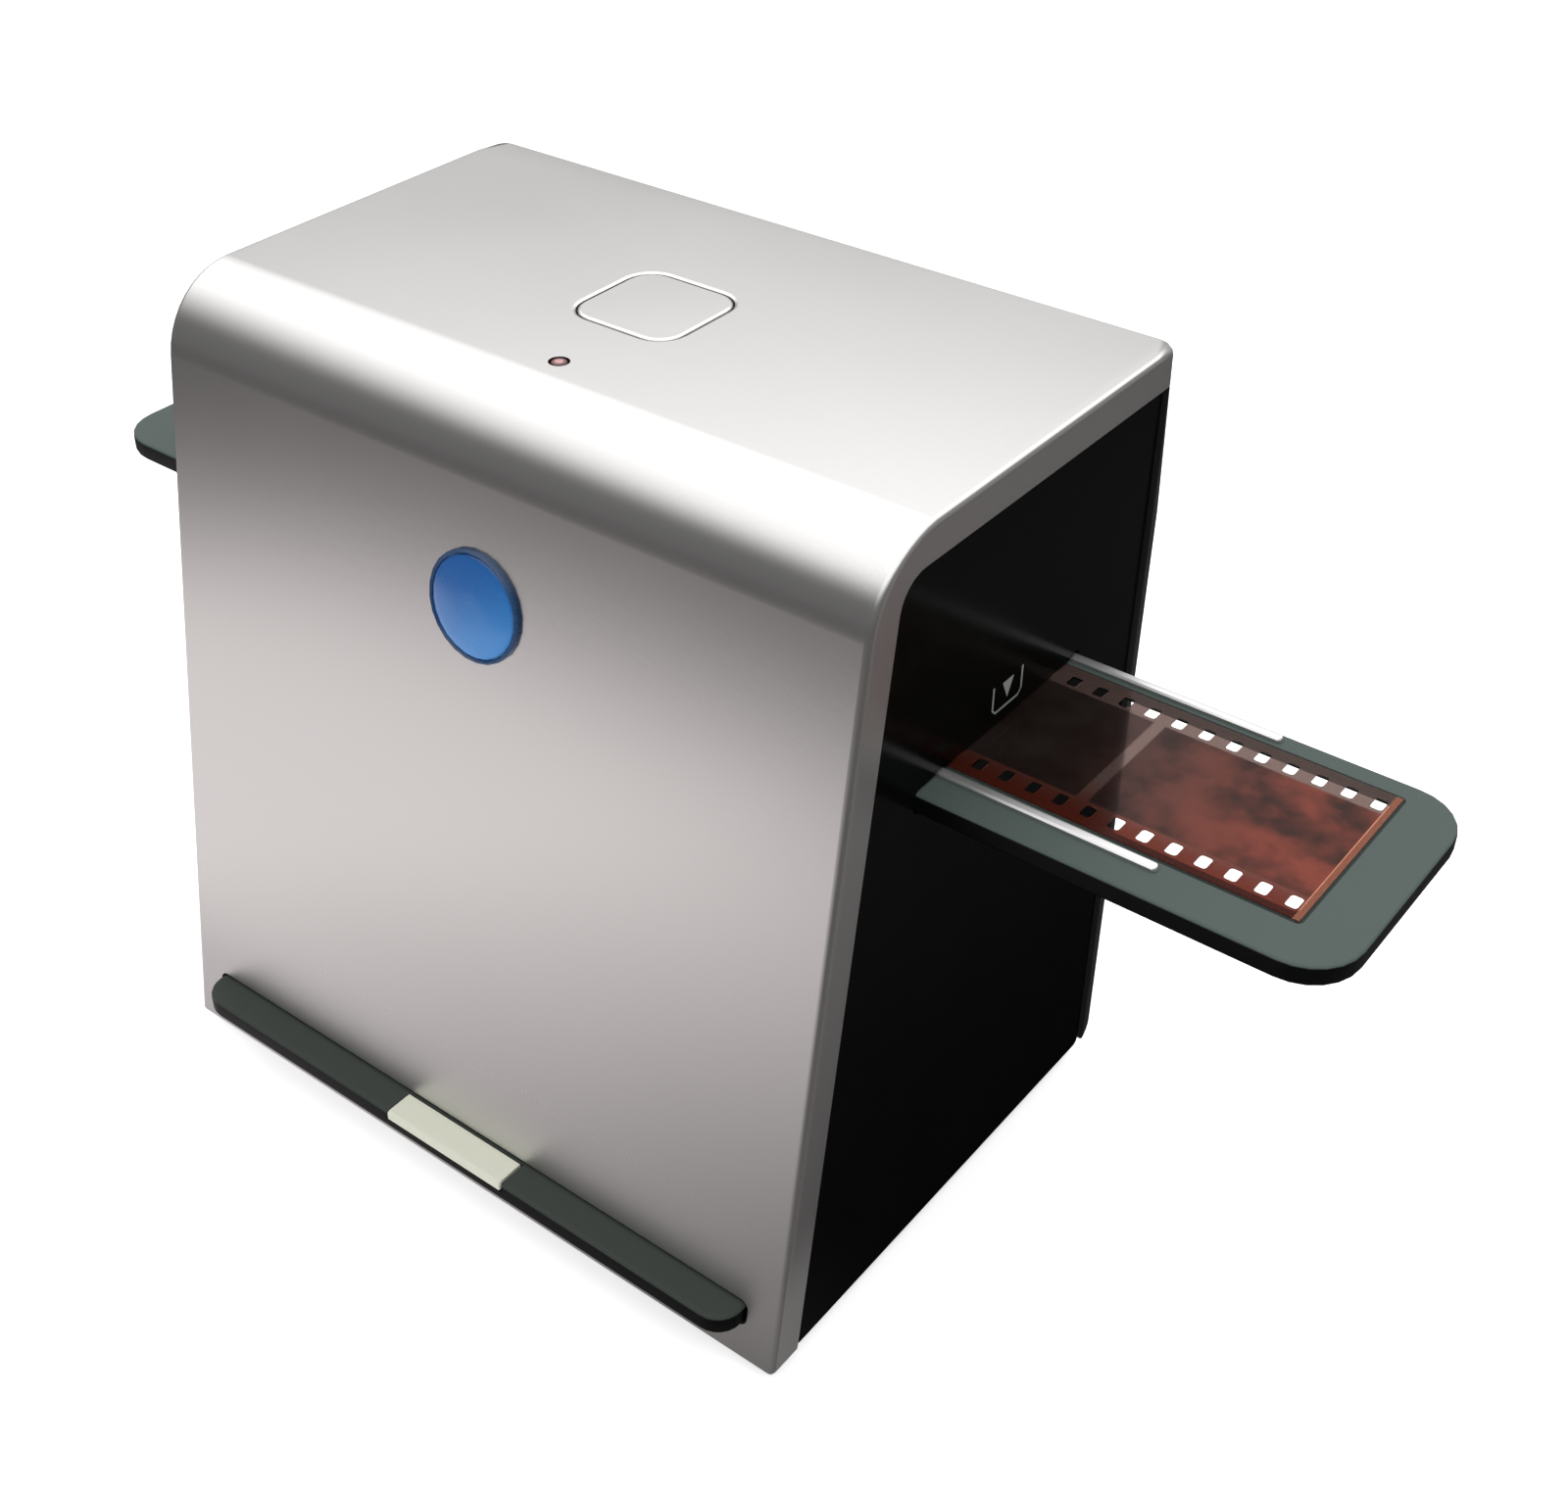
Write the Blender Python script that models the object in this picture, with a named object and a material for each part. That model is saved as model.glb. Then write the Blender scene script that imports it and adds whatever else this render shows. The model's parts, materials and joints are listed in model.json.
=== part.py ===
# Film negative scanner with a film tray through both sides and a print tray in front.
# Metres, +Z up, front towards -Y. The origin is under the middle of the rest box, on the desk.

from math import atan, atan2, cos, pi, sin

import bmesh
import bpy

for old_object in list(bpy.data.objects):
    bpy.data.objects.remove(old_object, do_unlink=True)

# Body: a silver wrap over front and top, glossy side panels, a flat back
side_room = 0.0074
body_depth = 0.1038
body_height = 0.15115
front_lean = 0.02156
wall = 0.0022
top_front_radius = 0.0155
rim_width = 0.0065
rim_depth = 0.0028
front_edge_radius = 0.0013
top_edge_radius = 0.0010
bottom_corner_radius = 0.0012
back_top_radius = 0.0035
back_middle_radius = 0.0010
back_low_radius = 0.0006
back_foot_radius = 0.0050
back_blend = 0.0300
back_chamfer = 0.0006
edge_blend = 0.0065
rear_thickness = 0.0023
base_thickness = 0.0022
foot_height = 0.0025
foot_radius = 0.0060
foot_inset_front = 0.0140
foot_inset_back = 0.0138
foot_inset_side = 0.0170
foot_seat = 0.0008
foot_edge = 0.0005

# Side panels, set in behind the silver rim
panel_recess = 0.0008
panel_groove = 0.0004
panel_lip = 0.0020
panel_lip_thickness = 0.0017
panel_front_radius = 0.0060
panel_small_radius = 0.0015
panel_bottom_gap = 0.0002

# 35 mm film: eight perforations to a frame on each edge
film_width = 0.034975
film_thickness = 0.00015
frame_pitch = 0.0380
frames_on_strip = 5
perforations_per_frame = 8
perforation_width = 0.002794
perforation_length = 0.001981
perforation_corner = 0.0004
perforation_edge_gap = 0.002010

# Film tray, lying across the body with 12 mm more of it on the right
film_tray_length = 0.2572
film_tray_width = 0.0480
film_tray_thickness = 0.0036
film_tray_corner = 0.0090
film_tray_edge = 0.0005
film_tray_drop = 0.05155
film_tray_offset = 0.0120
film_tray_axis_depth = 0.0588
film_axis_depth = 0.0611
film_end_margin = 0.00985
film_groove_width = 0.0005
film_groove_depth = 0.00035
film_ledge = 0.0016
film_end_ledge = 0.0010
film_ledge_thickness = 0.0008
film_flare = 0.0027
rail_gap = 0.0009
rail_length = 0.1484
rail_width = 0.0018
rail_height = 0.0008
rail_edge = 0.0003
window_corner = 0.0010
slot_room = 0.0005
slot_corner = 0.0018

# Print tray for 5 x 3.5 inch prints, with its grip at the front
print_width = 0.1270
print_depth = 0.0890
print_wall = 0.0022
print_tray_height = 0.0074
print_tray_thickness = 0.0044
print_tray_corner = 0.0050
print_corner = 0.0015
print_tray_edge = 0.0008
print_pocket_depth = 0.0019
print_pocket_front = 0.0056
print_tray_back_wall = 0.0033
lip_reach = 0.0044
liner_thickness = 0.0009
insert_width = 0.0282
insert_centre = 0.0010
insert_thickness = 0.0010
insert_proud = 0.0003
insert_back = 0.0012
insert_drop = 0.0020
insert_corner = 0.0003

# Button, lamp and badge
button_width = 0.0210
button_depth = 0.0208
button_corner = 0.0048
button_edge = 0.0006
button_edge_drop = 0.0003
button_side = -0.0013
button_axis_depth = 0.0640
button_flange = 0.0012
button_flange_thickness = 0.0012
button_stem_radius = 0.0025
button_stem_length = 0.0007
button_travel = 0.0005
lamp_radius = 0.00145
lamp_axis_depth = 0.0391
lamp_flange_radius = 0.0023
lamp_flange_thickness = 0.0012
lamp_edge = 0.0003
lamp_length = 0.0068
badge_radius = 0.00965
badge_ring_width = 0.0007
badge_ring_height = 0.0010
badge_dome_height = 0.0018
badge_slant_height = 0.1185

# Boards and what they carry
board_thickness = 0.0016
board_corner = 0.0010
main_board_width = 0.1000
main_board_front = 0.0320
main_board_back = 0.0990
main_board_drop = 0.0070
board_boss_radius = 0.0030
board_boss_side = 0.0440
board_boss_front = 0.0380
board_boss_back = 0.0920
switch_size = 0.0060
switch_height = 0.0035
switch_bore_radius = 0.0020
plunger_radius = 0.0017
plunger_length = 0.0022
chip_size = 0.0140
chip_height = 0.0014
chip_side = 0.0240
chip_axis_depth = 0.0480
lamp_chip_width = 0.0032
lamp_chip_depth = 0.0028
lamp_chip_height = 0.0019
socket_width = 0.0078
socket_height = 0.0040
socket_length = 0.0092
socket_wall = 0.0005
socket_side = 0.0300
socket_tongue_thickness = 0.0010
socket_tongue_width = 0.0040
socket_back_gap = 0.0005

# Camera above the film
lens_holder_size = 0.0180
lens_holder_height = 0.0030
lens_tube_radius = 0.0070
lens_tube_drop = 0.0030
lens_bore_radius = 0.0062
lens_barrel_radius = 0.0059
lens_barrel_length = 0.0075
lens_ring_radius = 0.0068
lens_ring_height = 0.0030
lens_mouth_radius = 0.0043
lens_throat_radius = 0.0030
lens_glass_radius = 0.0040
lens_glass_thickness = 0.0016
lens_glass_inset = 0.0009
lens_glass_edge = 0.0008
sensor_size = 0.0090
sensor_height = 0.0010
sensor_well_size = 0.0110
sensor_well_depth = 0.0014
sensor_board_size = 0.0240
sensor_board_thickness = 0.0012
header_length = 0.0120
header_width = 0.0044
header_height = 0.0026
bracket_width = 0.0320
bracket_thickness = 0.0015
bracket_front = 0.0235
bracket_back = 0.0960
bracket_foot = 0.0070
bracket_screw_side = 0.0100

# Film stage and its guides
stage_thickness = 0.0028
stage_front = 0.0220
stage_back = 0.0990
stage_ledge_reach = 0.0062
stage_ledge_thickness = 0.0025
stage_ledge_front = 0.0300
stage_ledge_back = 0.0920
gate_length = 0.0440
gate_width = 0.0330
gate_corner = 0.0020
guide_web = 0.0032
guide_lip = 0.0024
guide_lip_thickness = 0.0015
guide_height = 0.0067
guide_side_gap = 0.0012

# Light box between the stage and the print tray
box_wall = 0.0016
box_bottom = 0.0150
box_skirt_height = 0.0165
box_side_gap = 0.0020
box_front = 0.0078
box_back = 0.0998
box_flange_reach = 0.0084
box_flange_thickness = 0.0018
led_board_front = 0.0140
led_board_back = 0.0940
led_board_bottom = 0.0170
led_board_height = 0.0115
led_size = 0.0035
led_height = 0.0010
leds_on_board = 5
led_end_margin = 0.0080
diffuser_height = 0.0085
diffuser_depth = 0.0034
diffuser_wall = 0.0012
diffuser_corner = 0.0014

# Runners of the print tray, on the base plate
runner_front = 0.0060
runner_back = 0.0970
runner_sheet = 0.0015
runner_web = 0.0017
runner_reach = 0.0085
runner_rise = 0.0045

# Screws, tabs and bosses
screw_head_radius = 0.0027
screw_head_height = 0.0011
screw_head_round = 0.0003
screw_shank_radius = 0.0013
screw_length = 0.0052
screw_cross_arm = 0.0014
screw_cross_half = 0.00025
screw_cross_depth = 0.0006
screw_sink = 0.0013
tab_width = 0.0100
tab_depth = 0.0080
tab_height = 0.0046
base_tab_inset = 0.0330
rear_tab_reach = 0.0100
rear_tab_low_share = 0.4267
rear_tab_drop = 0.02065

# Fits
gap = 0.0003
hair = 0.0001
slide_gap = 0.0006
overrun = 0.0100
round_sides = 24
screw_sides = 12
fine_steps = 3
corner_steps = 6
bend_steps = 10
edge_steps = 4

# Heights above the desk and depths from the front that the sizes above give
body_bottom = foot_height
body_top = body_bottom + body_height
ceiling = body_top - wall
print_tray_width = print_width + 2 * gap + 2 * print_wall
body_width = print_tray_width + 2 * side_room
half_width = body_width / 2
lean_share = front_lean / body_height
lean_angle = atan(lean_share)
rear_inner = body_depth - rear_thickness
base_top = body_bottom + base_thickness
tab_hole_top = base_top + tab_height + gap
panel_outer = half_width - panel_recess
panel_step = half_width - rim_depth - gap
panel_inner = panel_step - panel_lip_thickness
box_half_width = panel_inner - box_side_gap
film_tray_bottom = body_top - film_tray_drop
film_tray_top = film_tray_bottom + film_tray_thickness
rail_top = film_tray_top + rail_height
film_length = frame_pitch * frames_on_strip
film_centre = film_tray_offset + film_tray_length / 2 - film_end_margin - film_length / 2
film_place = (film_centre, film_axis_depth)
rail_axis = film_width / 2 + film_groove_width + rail_gap + rail_width / 2
button_place = (button_side, button_axis_depth)
stage_top = film_tray_bottom - gap
stage_bottom = stage_top - stage_thickness
print_tray_bottom = body_bottom + print_tray_height
print_tray_top = print_tray_bottom + print_tray_thickness
print_pocket_back = print_pocket_front + print_depth + 2 * gap
print_tray_back = print_pocket_back + print_tray_back_wall
board_top = ceiling - main_board_drop
board_bottom = board_top - board_thickness
flange_top = ceiling - gap
flange_bottom = flange_top - button_flange_thickness
stem_bottom = flange_bottom - button_stem_length
plunger_bottom = stem_bottom - plunger_length
switch_top = board_top + switch_height
switch_bore_floor = plunger_bottom - button_travel - gap
header_bottom = board_bottom - header_height
sensor_board_bottom = header_bottom - sensor_board_thickness
holder_bottom = sensor_board_bottom - lens_holder_height
bracket_top = holder_bottom
barrel_bottom = bracket_top - lens_barrel_length - lens_tube_drop + gap

# The whole model hangs from this empty, which puts the middle of the rest box at the origin
front_reach = lip_reach + insert_proud
scanner = bpy.data.objects.new("scanner", None)
scanner.location = (-film_tray_offset, -(body_depth - front_reach) / 2, 0)
bpy.context.scene.collection.objects.link(scanner)


def front_face(height, inset=0):
    """Depth of the leaning front at a height above the desk, set in square to the face."""
    return lean_share * (height - body_bottom) + inset / cos(lean_angle)


# Outlines are lists of flat points, and a body is a list of loops of points in space

def rectangle(low, high):
    return [(low[0], low[1]), (high[0], low[1]), (high[0], high[1]), (low[0], high[1])]


def centred(centre, size):
    """The rectangle of a size about a centre."""
    low = (centre[0] - size[0] / 2, centre[1] - size[1] / 2)
    high = (centre[0] + size[0] / 2, centre[1] + size[1] / 2)
    return rectangle(low, high)


def rounded(corners, radii, steps):
    """An outline with each corner turned into an arc of its own radius; radius 0 stays sharp."""
    outline = []
    for index, corner in enumerate(corners):
        radius = radii[index]
        if radius == 0:
            outline.append(corner)
            continue
        before = corners[index - 1]
        after = corners[(index + 1) % len(corners)]
        back = (before[0] - corner[0], before[1] - corner[1])
        ahead = (after[0] - corner[0], after[1] - corner[1])
        back_angle = atan2(back[1], back[0])
        turn = (atan2(ahead[1], ahead[0]) - back_angle + pi) % (2 * pi) - pi
        middle_angle = back_angle + turn / 2
        reach = radius / abs(sin(turn / 2))
        centre = (corner[0] + reach * cos(middle_angle), corner[1] + reach * sin(middle_angle))
        side = 1 if turn > 0 else -1
        sweep = (pi - abs(turn)) * side
        first = back_angle - side * pi / 2
        for step in range(steps + 1):
            angle = first - sweep * step / steps
            outline.append((centre[0] + radius * cos(angle), centre[1] + radius * sin(angle)))
    return outline


def soft_rectangle(centre, size, radius, steps=corner_steps):
    return rounded(centred(centre, size), [radius] * 4, steps)


def circle(centre, radius, sides=round_sides):
    points = []
    for index in range(sides):
        angle = 2 * pi * (index - 1 / 2) / sides
        points.append((centre[0] + radius * cos(angle), centre[1] + radius * sin(angle)))
    return points


def lay(outline, axis, level):
    """Flat points stood up in space, square to an axis at a level along it."""
    if axis == "X":
        return [(level, first, second) for first, second in outline]
    if axis == "Y":
        return [(first, level, second) for first, second in outline]
    return [(first, second, level) for first, second in outline]


def prism(outline, axis, start, end):
    return [lay(outline, axis, start), lay(outline, axis, end)]


def block(low, high):
    return prism(rectangle(low[:2], high[:2]), "Z", low[2], high[2])


def turned(centre, axis, profile, sides=round_sides):
    """A body turned about an axis through a flat centre; the profile is pairs of radius and level."""
    return [lay(circle(centre, radius, sides), axis, level) for radius, level in profile]


def closed_ring(loops):
    """A body without ends, whose last loop is its first again."""
    return loops + loops[:1]


def skin(mesh, loops):
    """Faces over the loops of one body, with its two ends closed unless it is a ring."""
    is_ring = loops[0] is loops[-1]
    rings = []
    for loop in loops[:-1] if is_ring else loops:
        rings.append([mesh.verts.new(point) for point in loop])
    if is_ring:
        rings.append(rings[0])
    else:
        mesh.faces.new(rings[0])
        mesh.faces.new(rings[-1])
    for lower, upper in zip(rings, rings[1:]):
        for index in range(len(lower)):
            after = (index + 1) % len(lower)
            mesh.faces.new((lower[index], lower[after], upper[after], upper[index]))


def model(name, bodies):
    """One object made of bodies, with its origin in the middle of them."""
    points = [point for loops in bodies for loop in loops for point in loop]
    lows = [min(point[axis] for point in points) for axis in range(3)]
    highs = [max(point[axis] for point in points) for axis in range(3)]
    middle = [(low + high) / 2 for low, high in zip(lows, highs)]
    mesh = bmesh.new()
    for loops in bodies:
        skin(mesh, loops)
    bmesh.ops.translate(mesh, verts=mesh.verts, vec=[-value for value in middle])
    bmesh.ops.recalc_face_normals(mesh, faces=mesh.faces)
    data = bpy.data.meshes.new(name)
    mesh.to_mesh(data)
    mesh.free()
    thing = bpy.data.objects.new(name, data)
    thing.location = middle
    thing.parent = scanner
    bpy.context.scene.collection.objects.link(thing)
    return thing


def dress(thing, look):
    """A material, and smooth shading but for true edges."""
    thing.data.materials.append(look)
    thing.data.shade_smooth()
    thing.data.set_sharp_from_angle(angle=pi / 6)
    return thing


def part(name, look, *bodies):
    return dress(model(name, bodies), look)


def combine(thing, operation, bodies):
    """A Boolean with a helper that is not drawn."""
    helper = model(thing.name + "_" + operation.lower() + "_shape", bodies)
    helper.hide_render = True
    helper.display_type = "WIRE"
    step = thing.modifiers.new(operation.lower(), "BOOLEAN")
    step.operation = operation
    step.object = helper
    step.solver = "EXACT"


def cut(thing, *bodies):
    combine(thing, "DIFFERENCE", bodies)


def unite(thing, *bodies):
    combine(thing, "UNION", bodies)


def soften(thing, width, steps=2):
    """Rounded edges on every true edge of what the thing is so far."""
    bevel = thing.modifiers.new("soft edges", "BEVEL")
    bevel.width = width
    bevel.segments = steps
    bevel.limit_method = "ANGLE"
    bevel.angle_limit = pi / 4
    bevel.use_clamp_overlap = True


def material(name, colour, roughness, metallic=0.0):
    look = bpy.data.materials.new(name)
    look.use_nodes = True
    shader = look.node_tree.nodes["Principled BSDF"]
    shader.inputs["Base Color"].default_value = (*colour, 1.0)
    shader.inputs["Roughness"].default_value = roughness
    shader.inputs["Metallic"].default_value = metallic
    look.diffuse_color = (*colour, 1.0)
    return look


silver_paint = material("silver_paint", (0.46, 0.46, 0.45), 0.36, 0.75)
black_gloss = material("black_gloss", (0.012, 0.013, 0.012), 0.14)
black_matt = material("black_matt", (0.022, 0.022, 0.022), 0.55)
tray_grey = material("tray_grey", (0.105, 0.125, 0.118), 0.50)
bar_grey = material("bar_grey", (0.050, 0.055, 0.053), 0.42)
rail_silver = material("rail_silver", (0.62, 0.60, 0.58), 0.30, 0.80)
film_brown = material("film_brown", (0.26, 0.06, 0.03), 0.18)
cream_plastic = material("cream_plastic", (0.74, 0.74, 0.66), 0.45)
badge_blue = material("badge_blue", (0.03, 0.09, 0.42), 0.12)
badge_rim_dark = material("badge_rim_dark", (0.05, 0.055, 0.07), 0.25, 0.6)
lamp_red = material("lamp_red", (0.66, 0.16, 0.18), 0.20)
white_plastic = material("white_plastic", (0.82, 0.82, 0.80), 0.60)
board_green = material("board_green", (0.02, 0.13, 0.05), 0.45)
chip_black = material("chip_black", (0.02, 0.02, 0.02), 0.40)
bright_steel = material("bright_steel", (0.60, 0.60, 0.60), 0.30, 1.0)
lens_glass_look = material("lens_glass_look", (0.10, 0.08, 0.16), 0.05)
soft_rubber = material("soft_rubber", (0.03, 0.03, 0.03), 0.85)


# Body

def side_outline(inset, bottom, back, radii, steps):
    """The body's outline seen from the side, from the front's foot up and over to the back."""
    top = body_top - inset
    corners = [
        (front_face(bottom, inset), bottom),
        (front_face(top, inset), top),
        (back, top),
        (back, bottom),
    ]
    return rounded(corners, radii, steps)


def drawn_in_outline():
    """Points of the outer side outline, each with its place on the end face and the edge radius there."""
    low = body_bottom + bottom_corner_radius
    near_foot = body_bottom + edge_blend
    drawn_top = body_top - top_edge_radius
    points = [
        ((0, body_bottom), (front_face(low, front_edge_radius), low), bottom_corner_radius),
    ]
    drawn_foot = (front_face(near_foot, front_edge_radius), near_foot)
    points.append(((front_face(near_foot), near_foot), drawn_foot, front_edge_radius))
    centre_height = body_top - top_front_radius
    centre_depth = front_face(centre_height, top_front_radius)
    for step in range(bend_steps + 1):
        share = step / bend_steps
        angle = (pi - lean_angle) * (1 - share) + pi / 2 * share
        radius = front_edge_radius * (1 - share) + top_edge_radius * share
        outer, drawn = (
            (centre_depth + reach * cos(angle), centre_height + reach * sin(angle))
            for reach in (top_front_radius, top_front_radius - radius)
        )
        points.append((outer, drawn, radius))
    near_back = body_depth - edge_blend
    points.append(((near_back, body_top), (near_back, drawn_top), top_edge_radius))
    drawn_back = body_depth - back_top_radius
    for along, down in ((back_chamfer, 0), (0, back_chamfer)):
        outer = (body_depth - along, body_top - down)
        points.append((outer, (drawn_back - along, drawn_top - down), back_top_radius))
    blend_height = body_top - back_blend
    drawn_blend = (body_depth - back_middle_radius, blend_height)
    points.append(((body_depth, blend_height), drawn_blend, back_middle_radius))
    foot_depth = body_depth - back_foot_radius
    foot_centre_height = body_bottom + back_foot_radius
    for step in range(corner_steps + 1):
        angle = -pi / 2 * step / corner_steps
        outer, drawn = (
            (foot_depth + reach * cos(angle), foot_centre_height + reach * sin(angle))
            for reach in (back_foot_radius, back_foot_radius - back_low_radius)
        )
        points.append((outer, drawn, back_low_radius))
    points.append(((near_back, body_bottom), (near_back, low), bottom_corner_radius))
    return points


def body_blank(name, look):
    """The solid outer form, whose loops draw in towards each end to round its edges."""
    loops = []
    for side in (-1, 1):
        for step in range(edge_steps + 1):
            angle = pi / 2 * (edge_steps - step if side < 0 else step) / edge_steps
            loop = []
            for outer, drawn, radius in drawn_in_outline():
                share = 1 - cos(angle)
                depth = outer[0] + (drawn[0] - outer[0]) * share
                height = outer[1] + (drawn[1] - outer[1]) * share
                loop.append((side * (half_width - radius * (1 - sin(angle))), depth, height))
            loops.append(loop)
    return part(name, look, loops)


def on_both_sides(across, alongs):
    """Places left and right of the middle, in pairs along the list."""
    return [(side * across, along) for along in alongs for side in (-1, 1)]


def holes(places, radius, axis, start, end, sides=screw_sides):
    """Round cutters of one radius at flat places."""
    return [prism(circle(place, radius, sides), axis, start, end) for place in places]


screw_hole_radius = screw_shank_radius + gap
screw_sink_radius = screw_head_radius + gap
foot_middle = (bracket_foot + bracket_thickness) / 2
foot_places = on_both_sides(half_width - foot_inset_side, (foot_inset_front, body_depth - foot_inset_back))
base_screw_places = on_both_sides(half_width - base_tab_inset, (tab_depth, body_depth - tab_depth))
board_screw_places = on_both_sides(board_boss_side, (board_boss_front, board_boss_back))
bracket_screw_depths = (bracket_front + foot_middle, bracket_back - foot_middle)
bracket_screw_places = on_both_sides(bracket_screw_side, bracket_screw_depths)
rear_screw_side = panel_inner - rear_tab_reach / 2
rear_screw_heights = (body_bottom + body_height * rear_tab_low_share, body_top - rear_tab_drop)
rear_screw_places = on_both_sides(rear_screw_side, rear_screw_heights)


def button_outline(growth):
    """The button's outline, grown on all sides."""
    size = (button_width + 2 * growth, button_depth + 2 * growth)
    return soft_rectangle(button_place, size, button_corner + growth)


def make_shell():
    shell = body_blank("shell_wrap", silver_paint)
    past_bottom = body_bottom - overrun
    past_back = body_depth + overrun
    inner_radii = (0, top_front_radius - wall, 0, 0)
    inner = side_outline(wall, past_bottom, past_back, inner_radii, bend_steps)
    cut(shell, prism(inner, "X", -half_width + rim_depth, half_width - rim_depth))
    opening_radii = (0, panel_front_radius, 0, 0)
    opening = side_outline(rim_width, past_bottom, past_back, opening_radii, corner_steps)
    cut(shell, prism(opening, "X", -half_width - overrun, half_width + overrun))
    slot_height = print_tray_thickness + 2 * slide_gap
    slot_centre = (0, print_tray_bottom - slide_gap + slot_height / 2)
    slot = soft_rectangle(slot_centre, (print_tray_width + 2 * slide_gap, slot_height), slot_corner)
    button_hole = button_outline(gap)
    button_hole_flare = button_outline(gap + 2 * button_edge)
    lamp_hole = circle((0, lamp_axis_depth), lamp_radius + gap)
    cut(
        shell,
        prism(slot, "Y", -overrun, front_face(print_tray_top, wall) + gap),
        [
            lay(button_hole, "Z", ceiling - overrun),
            lay(button_hole, "Z", body_top - button_edge_drop),
            lay(button_hole_flare, "Z", body_top + button_edge_drop),
        ],
        prism(lamp_hole, "Z", ceiling - overrun, body_top + overrun),
    )
    unite(shell, *holes(board_screw_places, board_boss_radius, "Z", board_top, ceiling + wall / 2))
    for across, along in base_screw_places[:2]:
        low = (across - tab_width / 2, front_face(base_top, wall / 2), base_top)
        high = (across + tab_width / 2, along + tab_depth / 2, base_top + tab_height)
        unite(shell, block(low, high))
    cut(
        shell,
        *holes(board_screw_places, screw_hole_radius, "Z", board_top - overrun, board_top + screw_length),
        *holes(base_screw_places[:2], screw_hole_radius, "Z", base_top - overrun, tab_hole_top),
    )


def film_slot_cutters(start, end):
    """The slot for the film tray, with a notch in its upper edge for each rail."""
    low, high = film_tray_bottom - slide_gap, film_tray_top + slot_room
    centre = (film_tray_axis_depth, (low + high) / 2)
    size = (film_tray_width + 2 * slide_gap, high - low)
    cutters = [prism(soft_rectangle(centre, size, slot_corner, fine_steps), "X", start, end)]
    notch_half = rail_width / 2 + slot_room
    for way in (-1, 1):
        rail_depth = film_axis_depth + way * rail_axis
        notch = rectangle(
            (rail_depth - notch_half, film_tray_bottom), (rail_depth + notch_half, rail_top + slot_room)
        )
        cutters.append(prism(notch, "X", start, end))
    return cutters


def make_side_panel(name, side):
    """A glossy panel with a lip behind the rim, a ledge for the stage and tabs for the rear screws."""
    plug_front_radius = panel_front_radius - panel_groove
    plug_radii = (panel_small_radius, plug_front_radius, panel_small_radius, panel_small_radius)
    plug_bottom = body_bottom + panel_bottom_gap
    plug_back = rear_inner - slide_gap
    plug = side_outline(rim_width + panel_groove, plug_bottom, plug_back, plug_radii, corner_steps)
    lip_inset = rim_width - panel_lip
    lip_radii = (panel_small_radius, top_front_radius - lip_inset, panel_small_radius, panel_small_radius)
    lip = side_outline(lip_inset, plug_bottom - hair, rear_inner - gap, lip_radii, corner_steps)
    panel = part(name, black_gloss, [
        lay(lip, "X", side * panel_inner),
        lay(lip, "X", side * panel_step),
        lay(plug, "X", side * panel_step),
        lay(plug, "X", side * panel_outer),
    ])
    wall_inside = panel_inner + panel_lip_thickness / 2
    ledge = block(
        (side * (panel_inner - stage_ledge_reach), stage_ledge_front, stage_bottom - stage_ledge_thickness),
        (side * wall_inside, stage_ledge_back, stage_bottom),
    )
    unite(panel, ledge)
    tab_back = rear_inner - gap
    tab_inner = side * (panel_inner - rear_tab_reach)
    for height in rear_screw_heights:
        low = (tab_inner, tab_back - tab_depth, height - tab_width / 2)
        unite(panel, block(low, (side * wall_inside, tab_back, height + tab_width / 2)))
    places = [(side * rear_screw_side, height) for height in rear_screw_heights]
    cut(panel, *holes(places, screw_hole_radius, "Y", rear_inner - screw_length, rear_inner + overrun))
    for cutter in film_slot_cutters(side * (panel_inner - overrun), side * (panel_outer + overrun)):
        cut(panel, cutter)


def make_rear_panel():
    rear = body_blank("rear_panel", black_matt)
    ahead = block(
        (-half_width - overrun, -overrun, body_bottom - overrun),
        (half_width + overrun, rear_inner, body_top + overrun),
    )
    cut(rear, ahead)
    past_back, past_top = body_depth + overrun, body_top + overrun
    rim_inner = half_width - rim_depth - gap
    under_rim = body_top - rim_width - gap
    roof = block((-half_width - overrun, 0, ceiling - gap), (half_width + overrun, past_back, past_top))
    cut(rear, roof)
    for side in (-1, 1):
        past_end = side * (half_width + overrun)
        cut(rear, block((side * rim_inner, 0, under_rim), (past_end, past_back, past_top)))
    for across, along in base_screw_places[2:]:
        low = (across - tab_width / 2, along - tab_depth / 2, base_top)
        high = (across + tab_width / 2, rear_inner + rear_thickness / 2, base_top + tab_height)
        unite(rear, block(low, high))
    mouth_size = (socket_width + 2 * gap, socket_height + 2 * gap)
    mouth_centre = (socket_side, board_top + socket_height / 2)
    mouth = soft_rectangle(mouth_centre, mouth_size, socket_wall + gap, fine_steps)
    cut(
        rear,
        prism(mouth, "Y", rear_inner - overrun, body_depth + overrun),
        *holes(base_screw_places[2:], screw_hole_radius, "Z", base_top - overrun, tab_hole_top),
        *holes(rear_screw_places, screw_hole_radius, "Y", rear_inner - overrun, body_depth + overrun),
    )
    sink_floor = body_depth - screw_sink
    cut(rear, *holes(rear_screw_places, screw_sink_radius, "Y", sink_floor, body_depth + overrun))


def make_base():
    low = (-panel_inner + gap, front_face(base_top, wall) + gap, body_bottom)
    high = (panel_inner - gap, rear_inner - gap, base_top)
    base = part("base_plate", black_matt, block(low, high))
    under = body_bottom - overrun
    cut(
        base,
        *holes(foot_places, foot_radius + gap, "Z", under, body_bottom + foot_seat, round_sides),
        *holes(base_screw_places, screw_hole_radius, "Z", under, base_top + overrun),
    )
    cut(base, *holes(base_screw_places, screw_sink_radius, "Z", under, body_bottom + screw_sink))


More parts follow.
